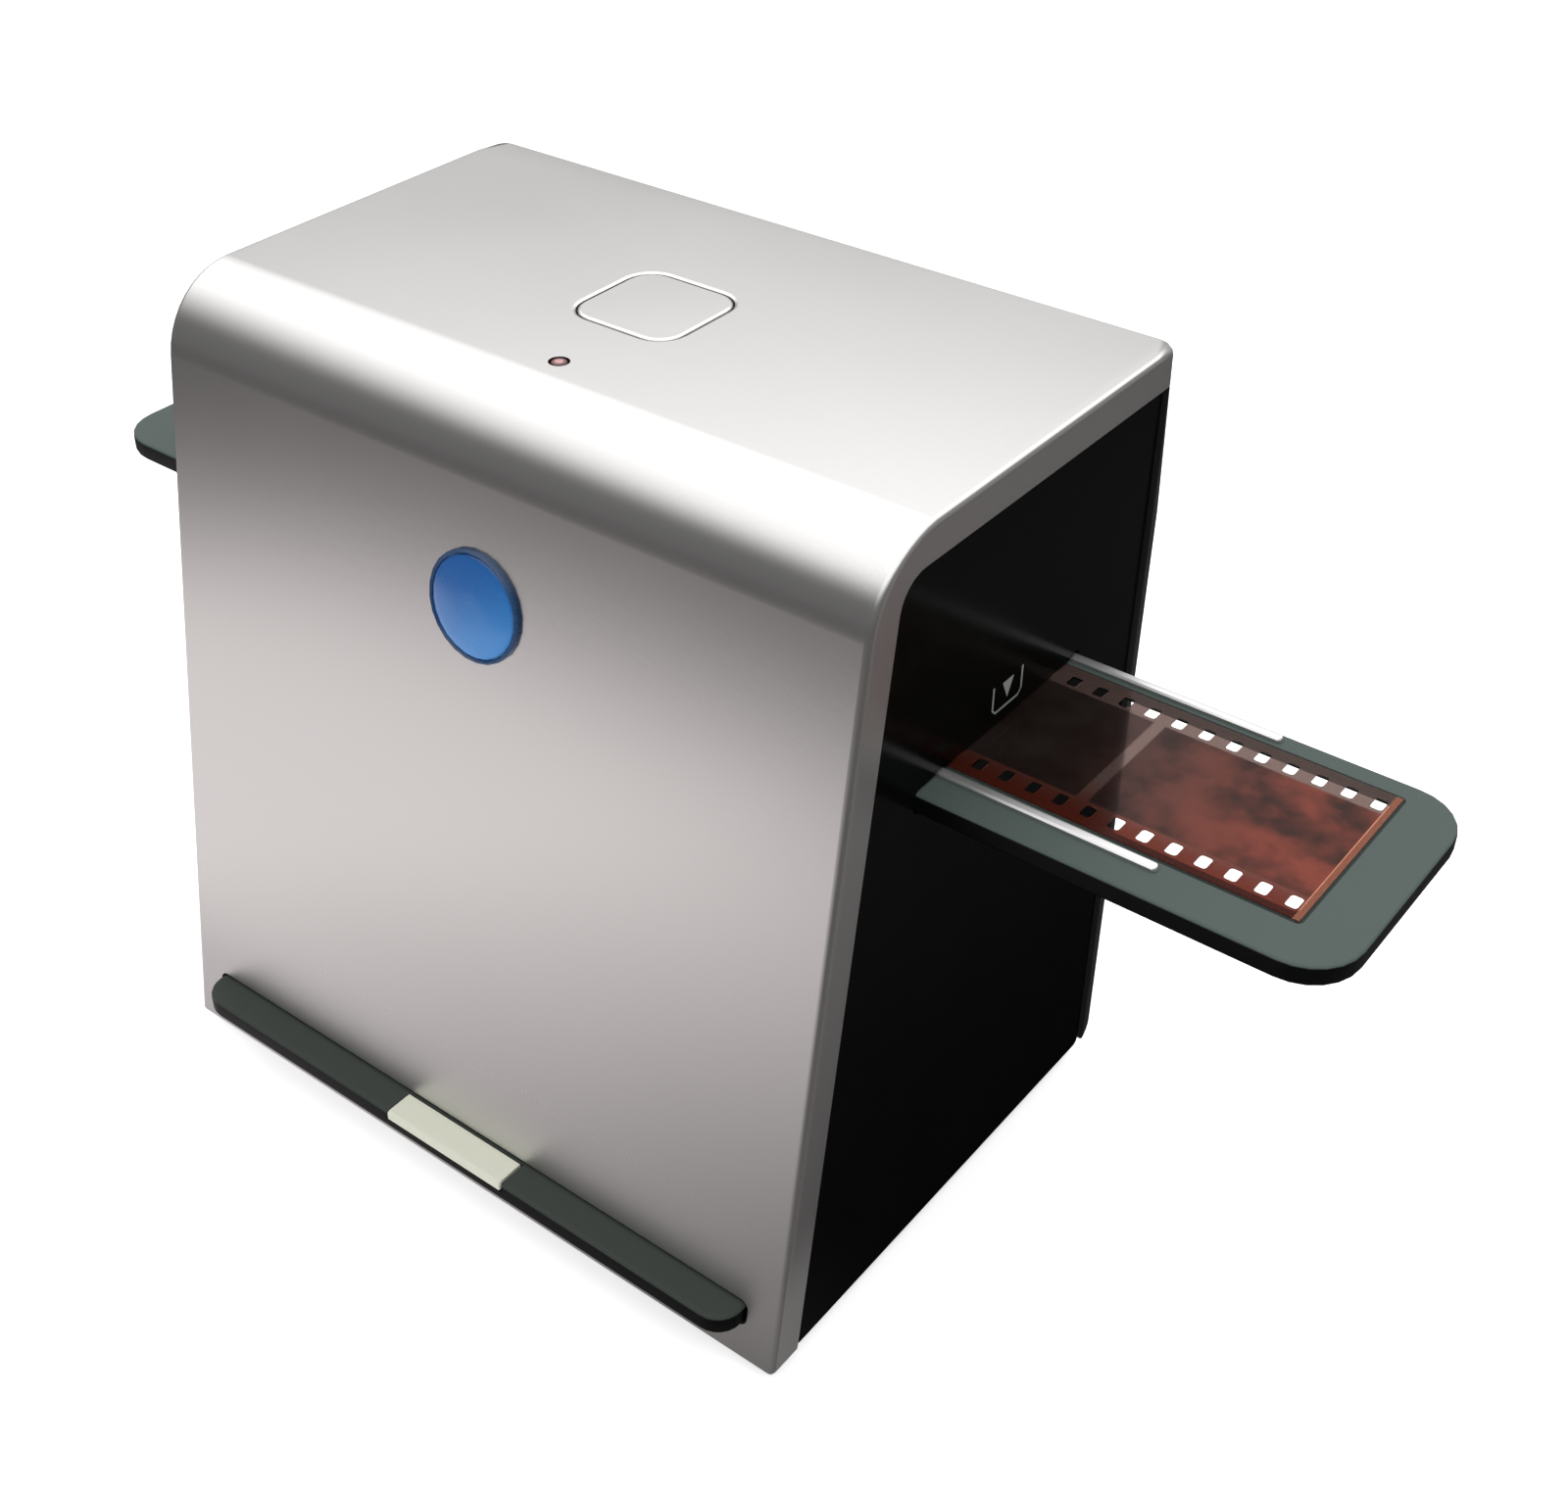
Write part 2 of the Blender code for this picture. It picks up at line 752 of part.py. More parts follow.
def make_feet():
    names = ("foot_front_left", "foot_front_right", "foot_back_left", "foot_back_right")
    profile = (
        (foot_radius - foot_edge, 0),
        (foot_radius, foot_edge),
        (foot_radius, foot_height + foot_seat),
    )
    for name, place in zip(names, foot_places):
        part(name, soft_rubber, turned(place, "Z", profile))


def screw_cross(centre):
    """The twelve corners of the driver's cross, in step with a circle of twelve sides."""
    arm, half = screw_cross_arm, screw_cross_half
    quarter = [(arm, -half), (arm, half), (half, half)]
    points = []
    for turn in range(4):
        cosine, sine = round(cos(turn * pi / 2)), round(sin(turn * pi / 2))
        for across, along in quarter:
            points.append((
                centre[0] + across * cosine - along * sine,
                centre[1] + across * sine + along * cosine,
            ))
    return points


def screw(name, place, axis, seat, way):
    """A pan-head screw under its seat; way is the side of the seat that its head is on."""
    top = seat + way * screw_head_height
    loops = turned(place, axis, (
        (screw_shank_radius, seat - way * screw_length),
        (screw_shank_radius, seat),
        (screw_head_radius, seat),
        (screw_head_radius, top - way * screw_head_round),
        (screw_head_radius - screw_head_round, top),
    ), screw_sides)
    loops.append(lay(screw_cross(place), axis, top))
    loops.append(lay(screw_cross(place), axis, top - way * screw_cross_depth))
    part(name, bright_steel, loops)


def make_screws():
    corners = ("front_left", "front_right", "back_left", "back_right")
    for corner, place in zip(corners, base_screw_places):
        screw("base_screw_" + corner, place, "Z", body_bottom + screw_sink, -1)
    for corner, place in zip(corners, board_screw_places):
        screw("board_screw_" + corner, place, "Z", board_bottom, -1)
    for corner, place in zip(corners, bracket_screw_places):
        screw("bracket_screw_" + corner, place, "Z", stage_top + bracket_thickness, 1)
    levels = ("low_left", "low_right", "high_left", "high_right")
    for level, place in zip(levels, rear_screw_places):
        screw("rear_screw_" + level, place, "Y", body_depth - screw_sink, 1)


def make_badge():
    """A dark ring and a domed disc on the leaning front."""
    height = body_bottom + badge_slant_height * cos(lean_angle)
    seat = (0, front_face(height), height)
    ring_inner = badge_radius - badge_ring_width
    dome_radius = ring_inner - hair
    ring = part("badge_ring", badge_rim_dark, closed_ring(turned((0, 0), "Z", (
        (ring_inner, 0),
        (badge_radius, 0),
        (badge_radius, badge_ring_height * 2 / 3),
        (badge_radius - badge_ring_width / 2, badge_ring_height),
        (ring_inner, badge_ring_height * 2 / 3),
    ))))
    dome_profile = [(dome_radius, 0), (dome_radius, badge_dome_height / 3)]
    for step in range(1, corner_steps):
        angle = pi / 2 * step / corner_steps
        rise = badge_dome_height / 3 + badge_dome_height * 2 / 3 * sin(angle)
        dome_profile.append((dome_radius * cos(angle), rise))
    dome = part("badge_dome", badge_blue, turned((0, 0), "Z", dome_profile))
    for piece in (ring, dome):
        lift = piece.location.z
        piece.rotation_euler = (pi / 2 - lean_angle, 0, 0)
        piece.location = (seat[0], seat[1] - lift * cos(lean_angle), seat[2] + lift * sin(lean_angle))


# Film stage, guides and light box

def make_stage():
    half = panel_inner - gap
    plate = rectangle((-half, stage_front), (half, stage_back))
    stage = part("film_stage", black_matt, prism(plate, "Z", stage_bottom, stage_top))
    gate = soft_rectangle((0, film_axis_depth), (gate_length, gate_width), gate_corner, fine_steps)
    cut(
        stage,
        prism(gate, "Z", stage_bottom - overrun, stage_top + overrun),
        *holes(bracket_screw_places, screw_hole_radius, "Z", stage_bottom - overrun, stage_top + overrun),
    )


def make_guide(name, way):
    """An L rail beside the film tray whose lip reaches over the tray's margin."""
    web_inner = film_tray_axis_depth + way * (film_tray_width / 2 + gap)
    web_outer = web_inner + way * guide_web
    lip_edge = web_inner - way * guide_lip
    top = stage_top + guide_height
    under_lip = top - guide_lip_thickness
    outline = [
        (web_outer, stage_top),
        (web_outer, top),
        (lip_edge, top),
        (lip_edge, under_lip),
        (web_inner, under_lip),
        (web_inner, stage_top),
    ]
    half = panel_inner - guide_side_gap
    part(name, black_matt, prism(outline, "X", -half, half))


def box_loop(half, front, back, height):
    return lay(rectangle((-half, front), (half, back)), "Z", height)


def make_light_box():
    """A white hood that widens from the film gate down to the print, with a flange at the top."""
    top = stage_bottom
    flange_bottom = top - box_flange_thickness
    bottom = body_bottom + box_bottom
    skirt_top = bottom + box_skirt_height
    neck_half = gate_length / 2 + box_wall
    neck_front = film_axis_depth - gate_width / 2 - box_wall
    neck_back = film_axis_depth + gate_width / 2 + box_wall
    flange_half = neck_half + box_flange_reach
    flange_front = neck_front - box_flange_reach
    flange_back = neck_back + box_flange_reach
    part("light_box", white_plastic, closed_ring([
        box_loop(box_half_width, box_front, box_back, bottom),
        box_loop(box_half_width, box_front, box_back, skirt_top),
        box_loop(neck_half, neck_front, neck_back, flange_bottom),
        box_loop(flange_half, flange_front, flange_back, flange_bottom),
        box_loop(flange_half, flange_front, flange_back, top),
        box_loop(neck_half - box_wall, neck_front + box_wall, neck_back - box_wall, top),
        box_loop(box_half_width - box_wall, box_front + box_wall, box_back - box_wall, skirt_top),
        box_loop(box_half_width - box_wall, box_front + box_wall, box_back - box_wall, bottom),
    ]))


def make_lights(side_name, side):
    """A strip of white lamps on the skirt of the light box, under a milky cover."""
    board_outer = box_half_width - box_wall
    board_inner = board_outer - board_thickness
    low = body_bottom + led_board_bottom
    high = low + led_board_height
    board = part("led_board_" + side_name, board_green, block(
        (side * board_inner, led_board_front, low), (side * board_outer, led_board_back, high)
    ))
    middle = (low + high) / 2
    first = led_board_front + led_end_margin
    pitch = (led_board_back - led_board_front - 2 * led_end_margin) / (leds_on_board - 1)
    lamps = []
    for index in range(leds_on_board):
        lamp = centred((first + index * pitch, middle), (led_size, led_size))
        lamps.append(prism(lamp, "X", side * (board_inner - led_height), side * (board_inner + gap)))
    unite(board, *lamps)
    far = board_inner - diffuser_depth
    outer_low, outer_high = middle - diffuser_height / 2, middle + diffuser_height / 2
    inner_low, inner_high = outer_low + diffuser_wall, outer_high - diffuser_wall
    corners = [
        (side * board_inner, outer_low),
        (side * far, outer_low),
        (side * far, outer_high),
        (side * board_inner, outer_high),
        (side * board_inner, inner_high),
        (side * (far + diffuser_wall), inner_high),
        (side * (far + diffuser_wall), inner_low),
        (side * board_inner, inner_low),
    ]
    radii = (0, diffuser_corner, diffuser_corner, 0, 0, 0, 0, 0)
    cover = rounded(corners, radii, fine_steps)
    part("led_cover_" + side_name, white_plastic, prism(cover, "Y", led_board_front, led_board_back))


def make_runner(side_name, side):
    """A bent rail on the base plate: a foot, a web beside the print tray and a ledge under it."""
    web_inner = print_tray_width / 2 + gap
    web_outer = web_inner + runner_web
    reach = web_inner - runner_reach
    ledge_top = print_tray_bottom - gap
    outline = [
        (side * reach, base_top),
        (side * web_outer, base_top),
        (side * web_outer, ledge_top + runner_rise),
        (side * web_inner, ledge_top + runner_rise),
        (side * web_inner, ledge_top),
        (side * reach, ledge_top),
        (side * reach, ledge_top - runner_sheet),
        (side * web_inner, ledge_top - runner_sheet),
        (side * web_inner, base_top + runner_sheet),
        (side * reach, base_top + runner_sheet),
    ]
    part("tray_runner_" + side_name, black_matt, prism(outline, "Y", runner_front, runner_back))


# Camera

def make_camera():
    centre = (0, film_axis_depth)
    bracket_under = bracket_top - bracket_thickness
    foot_top = stage_top + bracket_thickness
    profile = [
        (bracket_front, stage_top),
        (bracket_front, bracket_top),
        (bracket_back, bracket_top),
        (bracket_back, stage_top),
        (bracket_back - bracket_foot, stage_top),
        (bracket_back - bracket_foot, foot_top),
        (bracket_back - bracket_thickness, foot_top),
        (bracket_back - bracket_thickness, bracket_under),
        (bracket_front + bracket_thickness, bracket_under),
        (bracket_front + bracket_thickness, foot_top),
        (bracket_front + bracket_foot, foot_top),
        (bracket_front + bracket_foot, stage_top),
    ]
    half = bracket_width / 2
    bracket = part("camera_bracket", bright_steel, prism(profile, "X", -half, half))
    cut(
        bracket,
        prism(circle(centre, lens_tube_radius + gap), "Z", bracket_under - overrun, bracket_top + overrun),
        *holes(bracket_screw_places, screw_hole_radius, "Z", stage_top - overrun, foot_top + gap),
    )

    base = soft_rectangle(centre, (lens_holder_size, lens_holder_size), board_corner, fine_steps)
    holder = part("lens_holder", black_matt, prism(base, "Z", holder_bottom, sensor_board_bottom))
    tube_bottom = bracket_under - lens_tube_drop
    past_top = sensor_board_bottom + overrun
    unite(holder, prism(circle(centre, lens_tube_radius), "Z", tube_bottom, holder_bottom + gap))
    cut(holder, prism(circle(centre, lens_bore_radius), "Z", tube_bottom - overrun, holder_bottom + gap))
    cut(holder, prism(circle(centre, lens_throat_radius + gap), "Z", holder_bottom, past_top))
    well = centred(centre, (sensor_well_size, sensor_well_size))
    cut(holder, prism(well, "Z", sensor_board_bottom - sensor_well_depth, past_top))

    ring_top = barrel_bottom + lens_ring_height
    glass_seat = barrel_bottom + lens_glass_inset + lens_glass_thickness + gap
    part("lens_barrel", black_matt, closed_ring(turned(centre, "Z", (
        (lens_mouth_radius, barrel_bottom),
        (lens_ring_radius, barrel_bottom),
        (lens_ring_radius, ring_top),
        (lens_barrel_radius, ring_top),
        (lens_barrel_radius, bracket_top),
        (lens_throat_radius, bracket_top),
        (lens_throat_radius, glass_seat),
        (lens_mouth_radius, glass_seat),
    ))))
    glass_low = barrel_bottom + lens_glass_inset
    glass_rim = (lens_glass_thickness - lens_glass_edge) / 2
    part("lens_glass", lens_glass_look, turned(centre, "Z", (
        (lens_glass_radius / 3, glass_low),
        (lens_glass_radius * 3 / 4, glass_low + glass_rim / 2),
        (lens_glass_radius, glass_low + glass_rim),
        (lens_glass_radius, glass_low + glass_rim + lens_glass_edge),
        (lens_glass_radius / 2, glass_low + lens_glass_thickness),
    )))

    board = soft_rectangle(centre, (sensor_board_size, sensor_board_size), board_corner, fine_steps)
    part("sensor_board", board_green, prism(board, "Z", sensor_board_bottom, header_bottom))
    sensor = centred(centre, (sensor_size, sensor_size))
    sensor_bottom = sensor_board_bottom - sensor_height
    part("image_sensor", chip_black, prism(sensor, "Z", sensor_bottom, sensor_board_bottom))
    header = centred(centre, (header_length, header_width))
    part("board_header", black_matt, prism(header, "Z", header_bottom, board_bottom))


# Main board

def make_main_board():
    low = (-main_board_width / 2, main_board_front)
    high = (main_board_width / 2, main_board_back)
    outline = rounded(rectangle(low, high), [board_corner] * 4, fine_steps)
    board = part("main_board", board_green, prism(outline, "Z", board_bottom, board_top))
    past_top = board_top + overrun
    cut(board, *holes(board_screw_places, screw_hole_radius, "Z", board_bottom - overrun, past_top))

    chip = centred((-chip_side, chip_axis_depth), (chip_size, chip_size))
    part("main_chip", chip_black, prism(chip, "Z", board_top, board_top + chip_height))

    body = centred(button_place, (switch_size, switch_size))
    switch = part("tact_switch", black_matt, prism(body, "Z", board_top, switch_top))
    cut(switch, *holes([button_place], switch_bore_radius, "Z", switch_bore_floor, switch_top + overrun))

    lamp = centred((0, lamp_axis_depth), (lamp_chip_width, lamp_chip_depth))
    part("lamp_chip", white_plastic, prism(lamp, "Z", board_top, board_top + lamp_chip_height))


def make_socket():
    """A small metal socket whose mouth opens through the back."""
    back = body_depth - socket_back_gap
    front = back - socket_length
    centre = (socket_side, board_top + socket_height / 2)
    shell = soft_rectangle(centre, (socket_width, socket_height), socket_wall, fine_steps)
    socket = part("usb_socket", bright_steel, prism(shell, "Y", front, back))
    mouth = centred(centre, (socket_width - 2 * socket_wall, socket_height - 2 * socket_wall))
    cut(socket, prism(mouth, "Y", front + 2 * socket_wall, back + overrun))
    tongue = centred(centre, (socket_tongue_width, socket_tongue_thickness))
    unite(socket, prism(tongue, "Y", front + socket_wall, back - 2 * socket_wall))


# Moving pieces: each slide is an empty on the line that its pieces move along

def slide(name, place):
    empty = bpy.data.objects.new(name, None)
    empty.location = place
    empty.parent = scanner
    bpy.context.scene.collection.objects.link(empty)
    return empty


def ride(thing, carrier, carrier_place):
    """The thing hangs from a slide and stays where it is."""
    thing.parent = carrier
    thing.location = [here - there for here, there in zip(thing.location, carrier_place)]


def make_button():
    """A flush cap held from below by its flange, with a stem down to the switch's plunger."""
    place = (*button_place, body_top)
    carrier = slide("copy_button_slide", place)
    cap = button_outline(0)
    flange = button_outline(button_flange)
    button = part("copy_button", silver_paint, [
        lay(flange, "Z", flange_bottom),
        lay(flange, "Z", flange_top),
        lay(cap, "Z", flange_top),
        lay(cap, "Z", body_top - button_edge_drop),
        lay(button_outline(-button_edge), "Z", body_top),
    ])
    unite(button, *holes([button_place], button_stem_radius, "Z", stem_bottom, flange_bottom + gap))
    ride(button, carrier, place)
    plunger = circle(button_place, plunger_radius, screw_sides)
    ride(part("switch_plunger", black_matt, prism(plunger, "Z", plunger_bottom, stem_bottom)), carrier, place)


def make_lamp():
    """A red light pipe from its chip on the board up to the top face."""
    part("power_lamp", lamp_red, turned((0, lamp_axis_depth), "Z", (
        (lamp_radius, body_top - lamp_length),
        (lamp_radius, flange_top - lamp_flange_thickness),
        (lamp_flange_radius, flange_top - lamp_flange_thickness),
        (lamp_flange_radius, flange_top),
        (lamp_radius, flange_top),
        (lamp_radius, body_top - lamp_edge),
        (lamp_radius - lamp_edge, body_top),
    )))


def film_outline(growth_along, growth_across):
    """The film's outline, grown along it and across it."""
    size = (film_length + 2 * growth_along, film_width + 2 * growth_across)
    return soft_rectangle(film_place, size, window_corner, fine_steps)


def film_groove(over):
    """A cutter for the narrow groove round the film's seat."""
    floor = film_tray_top - film_groove_depth
    outer = film_outline(film_groove_width, film_groove_width)
    inner = film_outline(0, 0)
    return closed_ring([
        lay(outer, "Z", floor),
        lay(outer, "Z", over),
        lay(inner, "Z", over),
        lay(inner, "Z", floor),
    ])


def make_film_tray():
    """A plate whose flat seat for the film has a groove round it, and a window that is wider below."""
    tray_centre = (film_tray_offset, film_tray_axis_depth)
    place = (*tray_centre, film_tray_bottom)
    carrier = slide("film_tray_slide", place)
    outline = soft_rectangle(tray_centre, (film_tray_length, film_tray_width), film_tray_corner)
    tray = part("film_tray", tray_grey, prism(outline, "Z", film_tray_bottom, film_tray_top))
    soften(tray, film_tray_edge)
    under, over = film_tray_bottom - overrun, film_tray_top + overrun
    cut(tray, film_groove(over))
    cut(tray, prism(film_outline(-film_end_ledge, -film_ledge), "Z", under, over))
    cut(tray, prism(film_outline(film_flare, film_flare), "Z", under, film_tray_top - film_ledge_thickness))
    ride(tray, carrier, place)
    for name, way in (("film_rail_front", -1), ("film_rail_back", 1)):
        centre = (film_centre, film_axis_depth + way * rail_axis)
        end_radius = rail_width / 2 - hair
        rail_outline = soft_rectangle(centre, (rail_length, rail_width), end_radius, fine_steps)
        crown_size = (rail_length - 2 * rail_edge, rail_width - 2 * rail_edge)
        rail_crown = soft_rectangle(centre, crown_size, end_radius - rail_edge, fine_steps)
        rail = part(name, rail_silver, [
            lay(rail_outline, "Z", film_tray_top),
            lay(rail_outline, "Z", rail_top - rail_edge),
            lay(rail_crown, "Z", rail_top),
        ])
        ride(rail, carrier, place)
    return carrier, place


def make_film(tray_slide):
    """A strip of film with its perforations, lying on the ledges round the tray's window."""
    carrier_place = (*film_place, film_tray_top)
    carrier = slide("film_strip_slide", carrier_place)
    ride(carrier, tray_slide[0], tray_slide[1])
    outline = centred(film_place, (film_length, film_width))
    film_top = film_tray_top + film_thickness
    film = part("film_strip", film_brown, prism(outline, "Z", film_tray_top, film_top))
    pitch = frame_pitch / perforations_per_frame
    count = frames_on_strip * perforations_per_frame
    row = film_width / 2 - perforation_edge_gap - perforation_width / 2
    perforations = []
    for way in (-1, 1):
        for index in range(count):
            across = film_centre - film_length / 2 + pitch * (index + 1 / 2)
            hole_place = (across, film_axis_depth + way * row)
            size = (perforation_length, perforation_width)
            hole = soft_rectangle(hole_place, size, perforation_corner, 1)
            perforations.append(prism(hole, "Z", film_tray_top - overrun, film_top + overrun))
    cut(film, *perforations)
    ride(film, carrier, carrier_place)


def make_print_tray():
    place = (0, 0, print_tray_bottom)
    carrier = slide("print_tray_slide", place)
    half = print_tray_width / 2
    radii = (print_tray_corner, print_tray_corner, print_corner, print_corner)
    outline = rounded(rectangle((-half, -lip_reach), (half, print_tray_back)), radii, corner_steps)
    tray = part("print_tray", bar_grey, prism(outline, "Z", print_tray_bottom, print_tray_top))
    soften(tray, print_tray_edge)
    pocket_half = print_width / 2 + gap
    pocket = rectangle((-pocket_half, print_pocket_front), (pocket_half, print_pocket_back))
    cut(tray, prism(pocket, "Z", print_tray_top - print_pocket_depth, print_tray_top + overrun))
    grip_front = -lip_reach - insert_proud
    grip_seat = grip_front + insert_thickness
    crown = print_tray_top + insert_proud
    left = insert_centre - insert_width / 2
    right = left + insert_width
    corner = (right + gap, insert_back + gap, print_tray_top + overrun)
    cut(tray, block((left - gap, -overrun, crown - insert_thickness), corner))
    corner = (right + gap, grip_seat, print_tray_top + overrun)
    cut(tray, block((left - gap, -overrun, crown - insert_drop - gap), corner))
    ride(tray, carrier, place)

    floor = print_tray_top - print_pocket_depth
    liner_centre = (0, (print_pocket_front + print_pocket_back) / 2)
    liner = soft_rectangle(liner_centre, (print_width, print_depth), print_corner, fine_steps)
    sheet = part("print_liner", white_plastic, prism(liner, "Z", floor, floor + liner_thickness))
    ride(sheet, carrier, place)

    profile = rounded([
        (grip_front, crown - insert_drop),
        (grip_front, crown),
        (insert_back, crown),
        (insert_back, crown - insert_thickness),
        (grip_seat, crown - insert_thickness),
        (grip_seat, crown - insert_drop),
    ], (insert_corner, insert_thickness * 2 / 3, insert_corner, 0, 0, 0), fine_steps)
    grip = part("tray_grip", cream_plastic, prism(profile, "X", left, right))
    ride(grip, carrier, place)


make_shell()
make_side_panel("side_panel_left", -1)
make_side_panel("side_panel_right", 1)
make_rear_panel()
make_base()
make_feet()
make_badge()
make_stage()
make_guide("film_guide_front", -1)
make_guide("film_guide_back", 1)
make_light_box()
make_lights("left", -1)
make_lights("right", 1)
make_runner("left", -1)
make_runner("right", 1)
make_camera()
make_main_board()
make_socket()
make_lamp()
make_screws()
make_button()
film_tray_slide = make_film_tray()
make_film(film_tray_slide)
make_print_tray()
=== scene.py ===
# %% [markdown]
# # A scanner for film and small prints
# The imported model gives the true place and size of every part. This file dresses it: it joins and rounds
# the parts that show, builds the ones that a solid model keeps plain, and gives each of them its finish.

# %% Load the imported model
import json
from math import cos, pi, radians, sin

import bmesh
import bpy
from mathutils import Matrix, Vector


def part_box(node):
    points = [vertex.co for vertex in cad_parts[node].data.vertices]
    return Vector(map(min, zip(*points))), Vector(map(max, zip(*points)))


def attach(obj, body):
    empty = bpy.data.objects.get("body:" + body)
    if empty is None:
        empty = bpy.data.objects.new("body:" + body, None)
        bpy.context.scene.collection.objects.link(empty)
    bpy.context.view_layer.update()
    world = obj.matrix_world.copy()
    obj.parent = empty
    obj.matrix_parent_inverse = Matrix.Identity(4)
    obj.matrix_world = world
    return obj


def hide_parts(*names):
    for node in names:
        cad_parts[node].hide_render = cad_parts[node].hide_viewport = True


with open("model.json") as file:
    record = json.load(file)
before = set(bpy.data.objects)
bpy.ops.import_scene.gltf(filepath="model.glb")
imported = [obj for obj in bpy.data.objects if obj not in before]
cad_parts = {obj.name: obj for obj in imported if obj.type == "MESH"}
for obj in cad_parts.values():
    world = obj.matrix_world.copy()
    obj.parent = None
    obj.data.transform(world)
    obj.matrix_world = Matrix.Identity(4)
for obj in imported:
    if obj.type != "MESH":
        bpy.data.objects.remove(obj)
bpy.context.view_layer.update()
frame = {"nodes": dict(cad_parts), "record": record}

scene = bpy.context.scene
bodies = frame["record"]["behaviour"]["bodies"]
body_of_node = {node: body for body, members in bodies.items() for node in members}
print("nodes:", len(frame["nodes"]), "bodies:", len(bodies))

# %% [markdown]
# ## Shader sums in plain Python
# A finish is a small sum: so much grain, so much dust, less of both on an edge. Wiring each plus and minus
# by hand hides that sum, so one class wraps a socket and adds the Math node when two of them are added or
# multiplied. A second class holds the material and has the one method through which every other node is
# made.

# %% Sockets that can be added and multiplied
def socket_named(sockets, key):
    if isinstance(key, int):
        return sockets[key]
    return next(socket for socket in sockets if key in (socket.identifier, socket.name))


class Signal:
    """A number or a colour on its way through a sheet of nodes."""

    def __init__(self, sheet, socket):
        self.sheet = sheet
        self.socket = socket

    def sum_with(self, operation, first, second=0.0):
        made = self.sheet.node("ShaderNodeMath", {"operation": operation}, {0: first, 1: second})
        return Signal(self.sheet, made.outputs[0])

    def __add__(self, other):
        return self.sum_with("ADD", self, other)

    def __sub__(self, other):
        return self.sum_with("SUBTRACT", self, other)

    def __rsub__(self, other):
        return self.sum_with("SUBTRACT", other, self)

    def __mul__(self, other):
        return self.sum_with("MULTIPLY", self, other)

    def __truediv__(self, other):
        return self.sum_with("DIVIDE", self, other)

    def __lt__(self, other):
        return self.sum_with("LESS_THAN", self, other)

    def __abs__(self):
        return self.sum_with("ABSOLUTE", self)

    __radd__ = __add__
    __rmul__ = __mul__

    def power(self, exponent):
        return self.sum_with("POWER", self, exponent)

    def lowest(self, other):
        return self.sum_with("MINIMUM", self, other)

    def highest(self, other):
        return self.sum_with("MAXIMUM", self, other)

    def wrapped(self, length):
        return self.sum_with("FLOORED_MODULO", self, length)

    def eased(self, start, end):
        """0 before start, 1 after end and a smooth step between them."""
        made = self.sheet.node(
            "ShaderNodeMapRange", {"interpolation_type": "SMOOTHSTEP"}, {0: self, 1: start, 2: end}
        )
        return Signal(self.sheet, made.outputs[0])


class NodeSheet:
    """The nodes of a material or of the room, filled from Python."""

    def __init__(self, tree):
        self.tree = tree

    def put(self, sockets, key, value):
        socket = socket_named(sockets, key)
        if isinstance(value, Signal):
            self.tree.links.new(value.socket, socket)
        elif hasattr(value, "__len__") and socket.type == "RGBA":
            socket.default_value = (*value, 1.0)[:4]
        else:
            socket.default_value = value

    def node(self, kind, settings, inputs):
        made = self.tree.nodes.new(kind)
        for name, value in settings.items():
            setattr(made, name, value)
        for key, value in inputs.items():
            self.put(made.inputs, key, value)
        return made

    def signal(self, kind, output):
        return Signal(self, self.node(kind, {}, {}).outputs[output])

    def place(self):
        """Where a point of the piece is, in metres from the origin of the whole scanner."""
        return self.signal("ShaderNodeTexCoord", "Object")

    def along(self, *axes):
        """One number for each axis that is named."""
        made = self.node("ShaderNodeSeparateXYZ", {}, {0: self.place()})
        return [Signal(self, made.outputs[axis]) for axis in axes]

    def stretched(self, scale):
        made = self.node("ShaderNodeVectorMath", {"operation": "MULTIPLY"}, {0: self.place(), 1: scale})
        return Signal(self, made.outputs[0])

    def noise(self, grain, detail=2.0, where=None):
        """Soft noise with blotches of about the size of one grain, in metres."""
        inputs = {"Vector": where or self.place(), "Scale": 1 / grain, "Detail": detail}
        return Signal(self, self.node("ShaderNodeTexNoise", {}, inputs).outputs["Fac"])

    def cells(self, grain):
        inputs = {"Vector": self.place(), "Scale": 1 / grain}
        return Signal(self, self.node("ShaderNodeTexVoronoi", {}, inputs).outputs["Distance"])

    def blend(self, share, under, over):
        made = self.node(
            "ShaderNodeMix", {"data_type": "RGBA"}, {"Factor_Float": share, "A_Color": under, "B_Color": over}
        )
        return Signal(self, socket_named(made.outputs, "Result_Color"))

    def bump(self, height, depth):
        """Bumps as high as depth, in metres, where height goes from 0 to 1."""
        made = self.node("ShaderNodeBump", {}, {"Strength": 1.0, "Distance": depth, "Height": height})
        return Signal(self, made.outputs["Normal"])


class Finish(NodeSheet):
    """One material: a Principled surface and the nodes that feed it."""

    def __init__(self, name, **settings):
        self.material = bpy.data.materials.new(name)
        self.material.use_nodes = True
        super().__init__(self.material.node_tree)
        self.surface = self.tree.nodes["Principled BSDF"]
        self.feed(**settings)

    def feed(self, **settings):
        for name, value in settings.items():
            self.put(self.surface.inputs, name.replace("_", " ").title().replace("Ior", "IOR"), value)


print("a sum of signals adds its own Math nodes")

# %% [markdown]
# ## Finishes of the housing
# The wrap is moulded plastic under silver paint: fine flakes, a soft orange-peel skin and roughness that
# drifts a little. It lies rougher where the spray ends: on the cut rims at both ends and along the lower
# edge. The side panels are polished black, so what they show is their reflections and the faint haze of
# wiping. The back, the base and the inner carriers are black plastic with a spark-eroded grain, which a
# bump gives best.

# %% Silver paint and black plastics
millimetre = 0.001


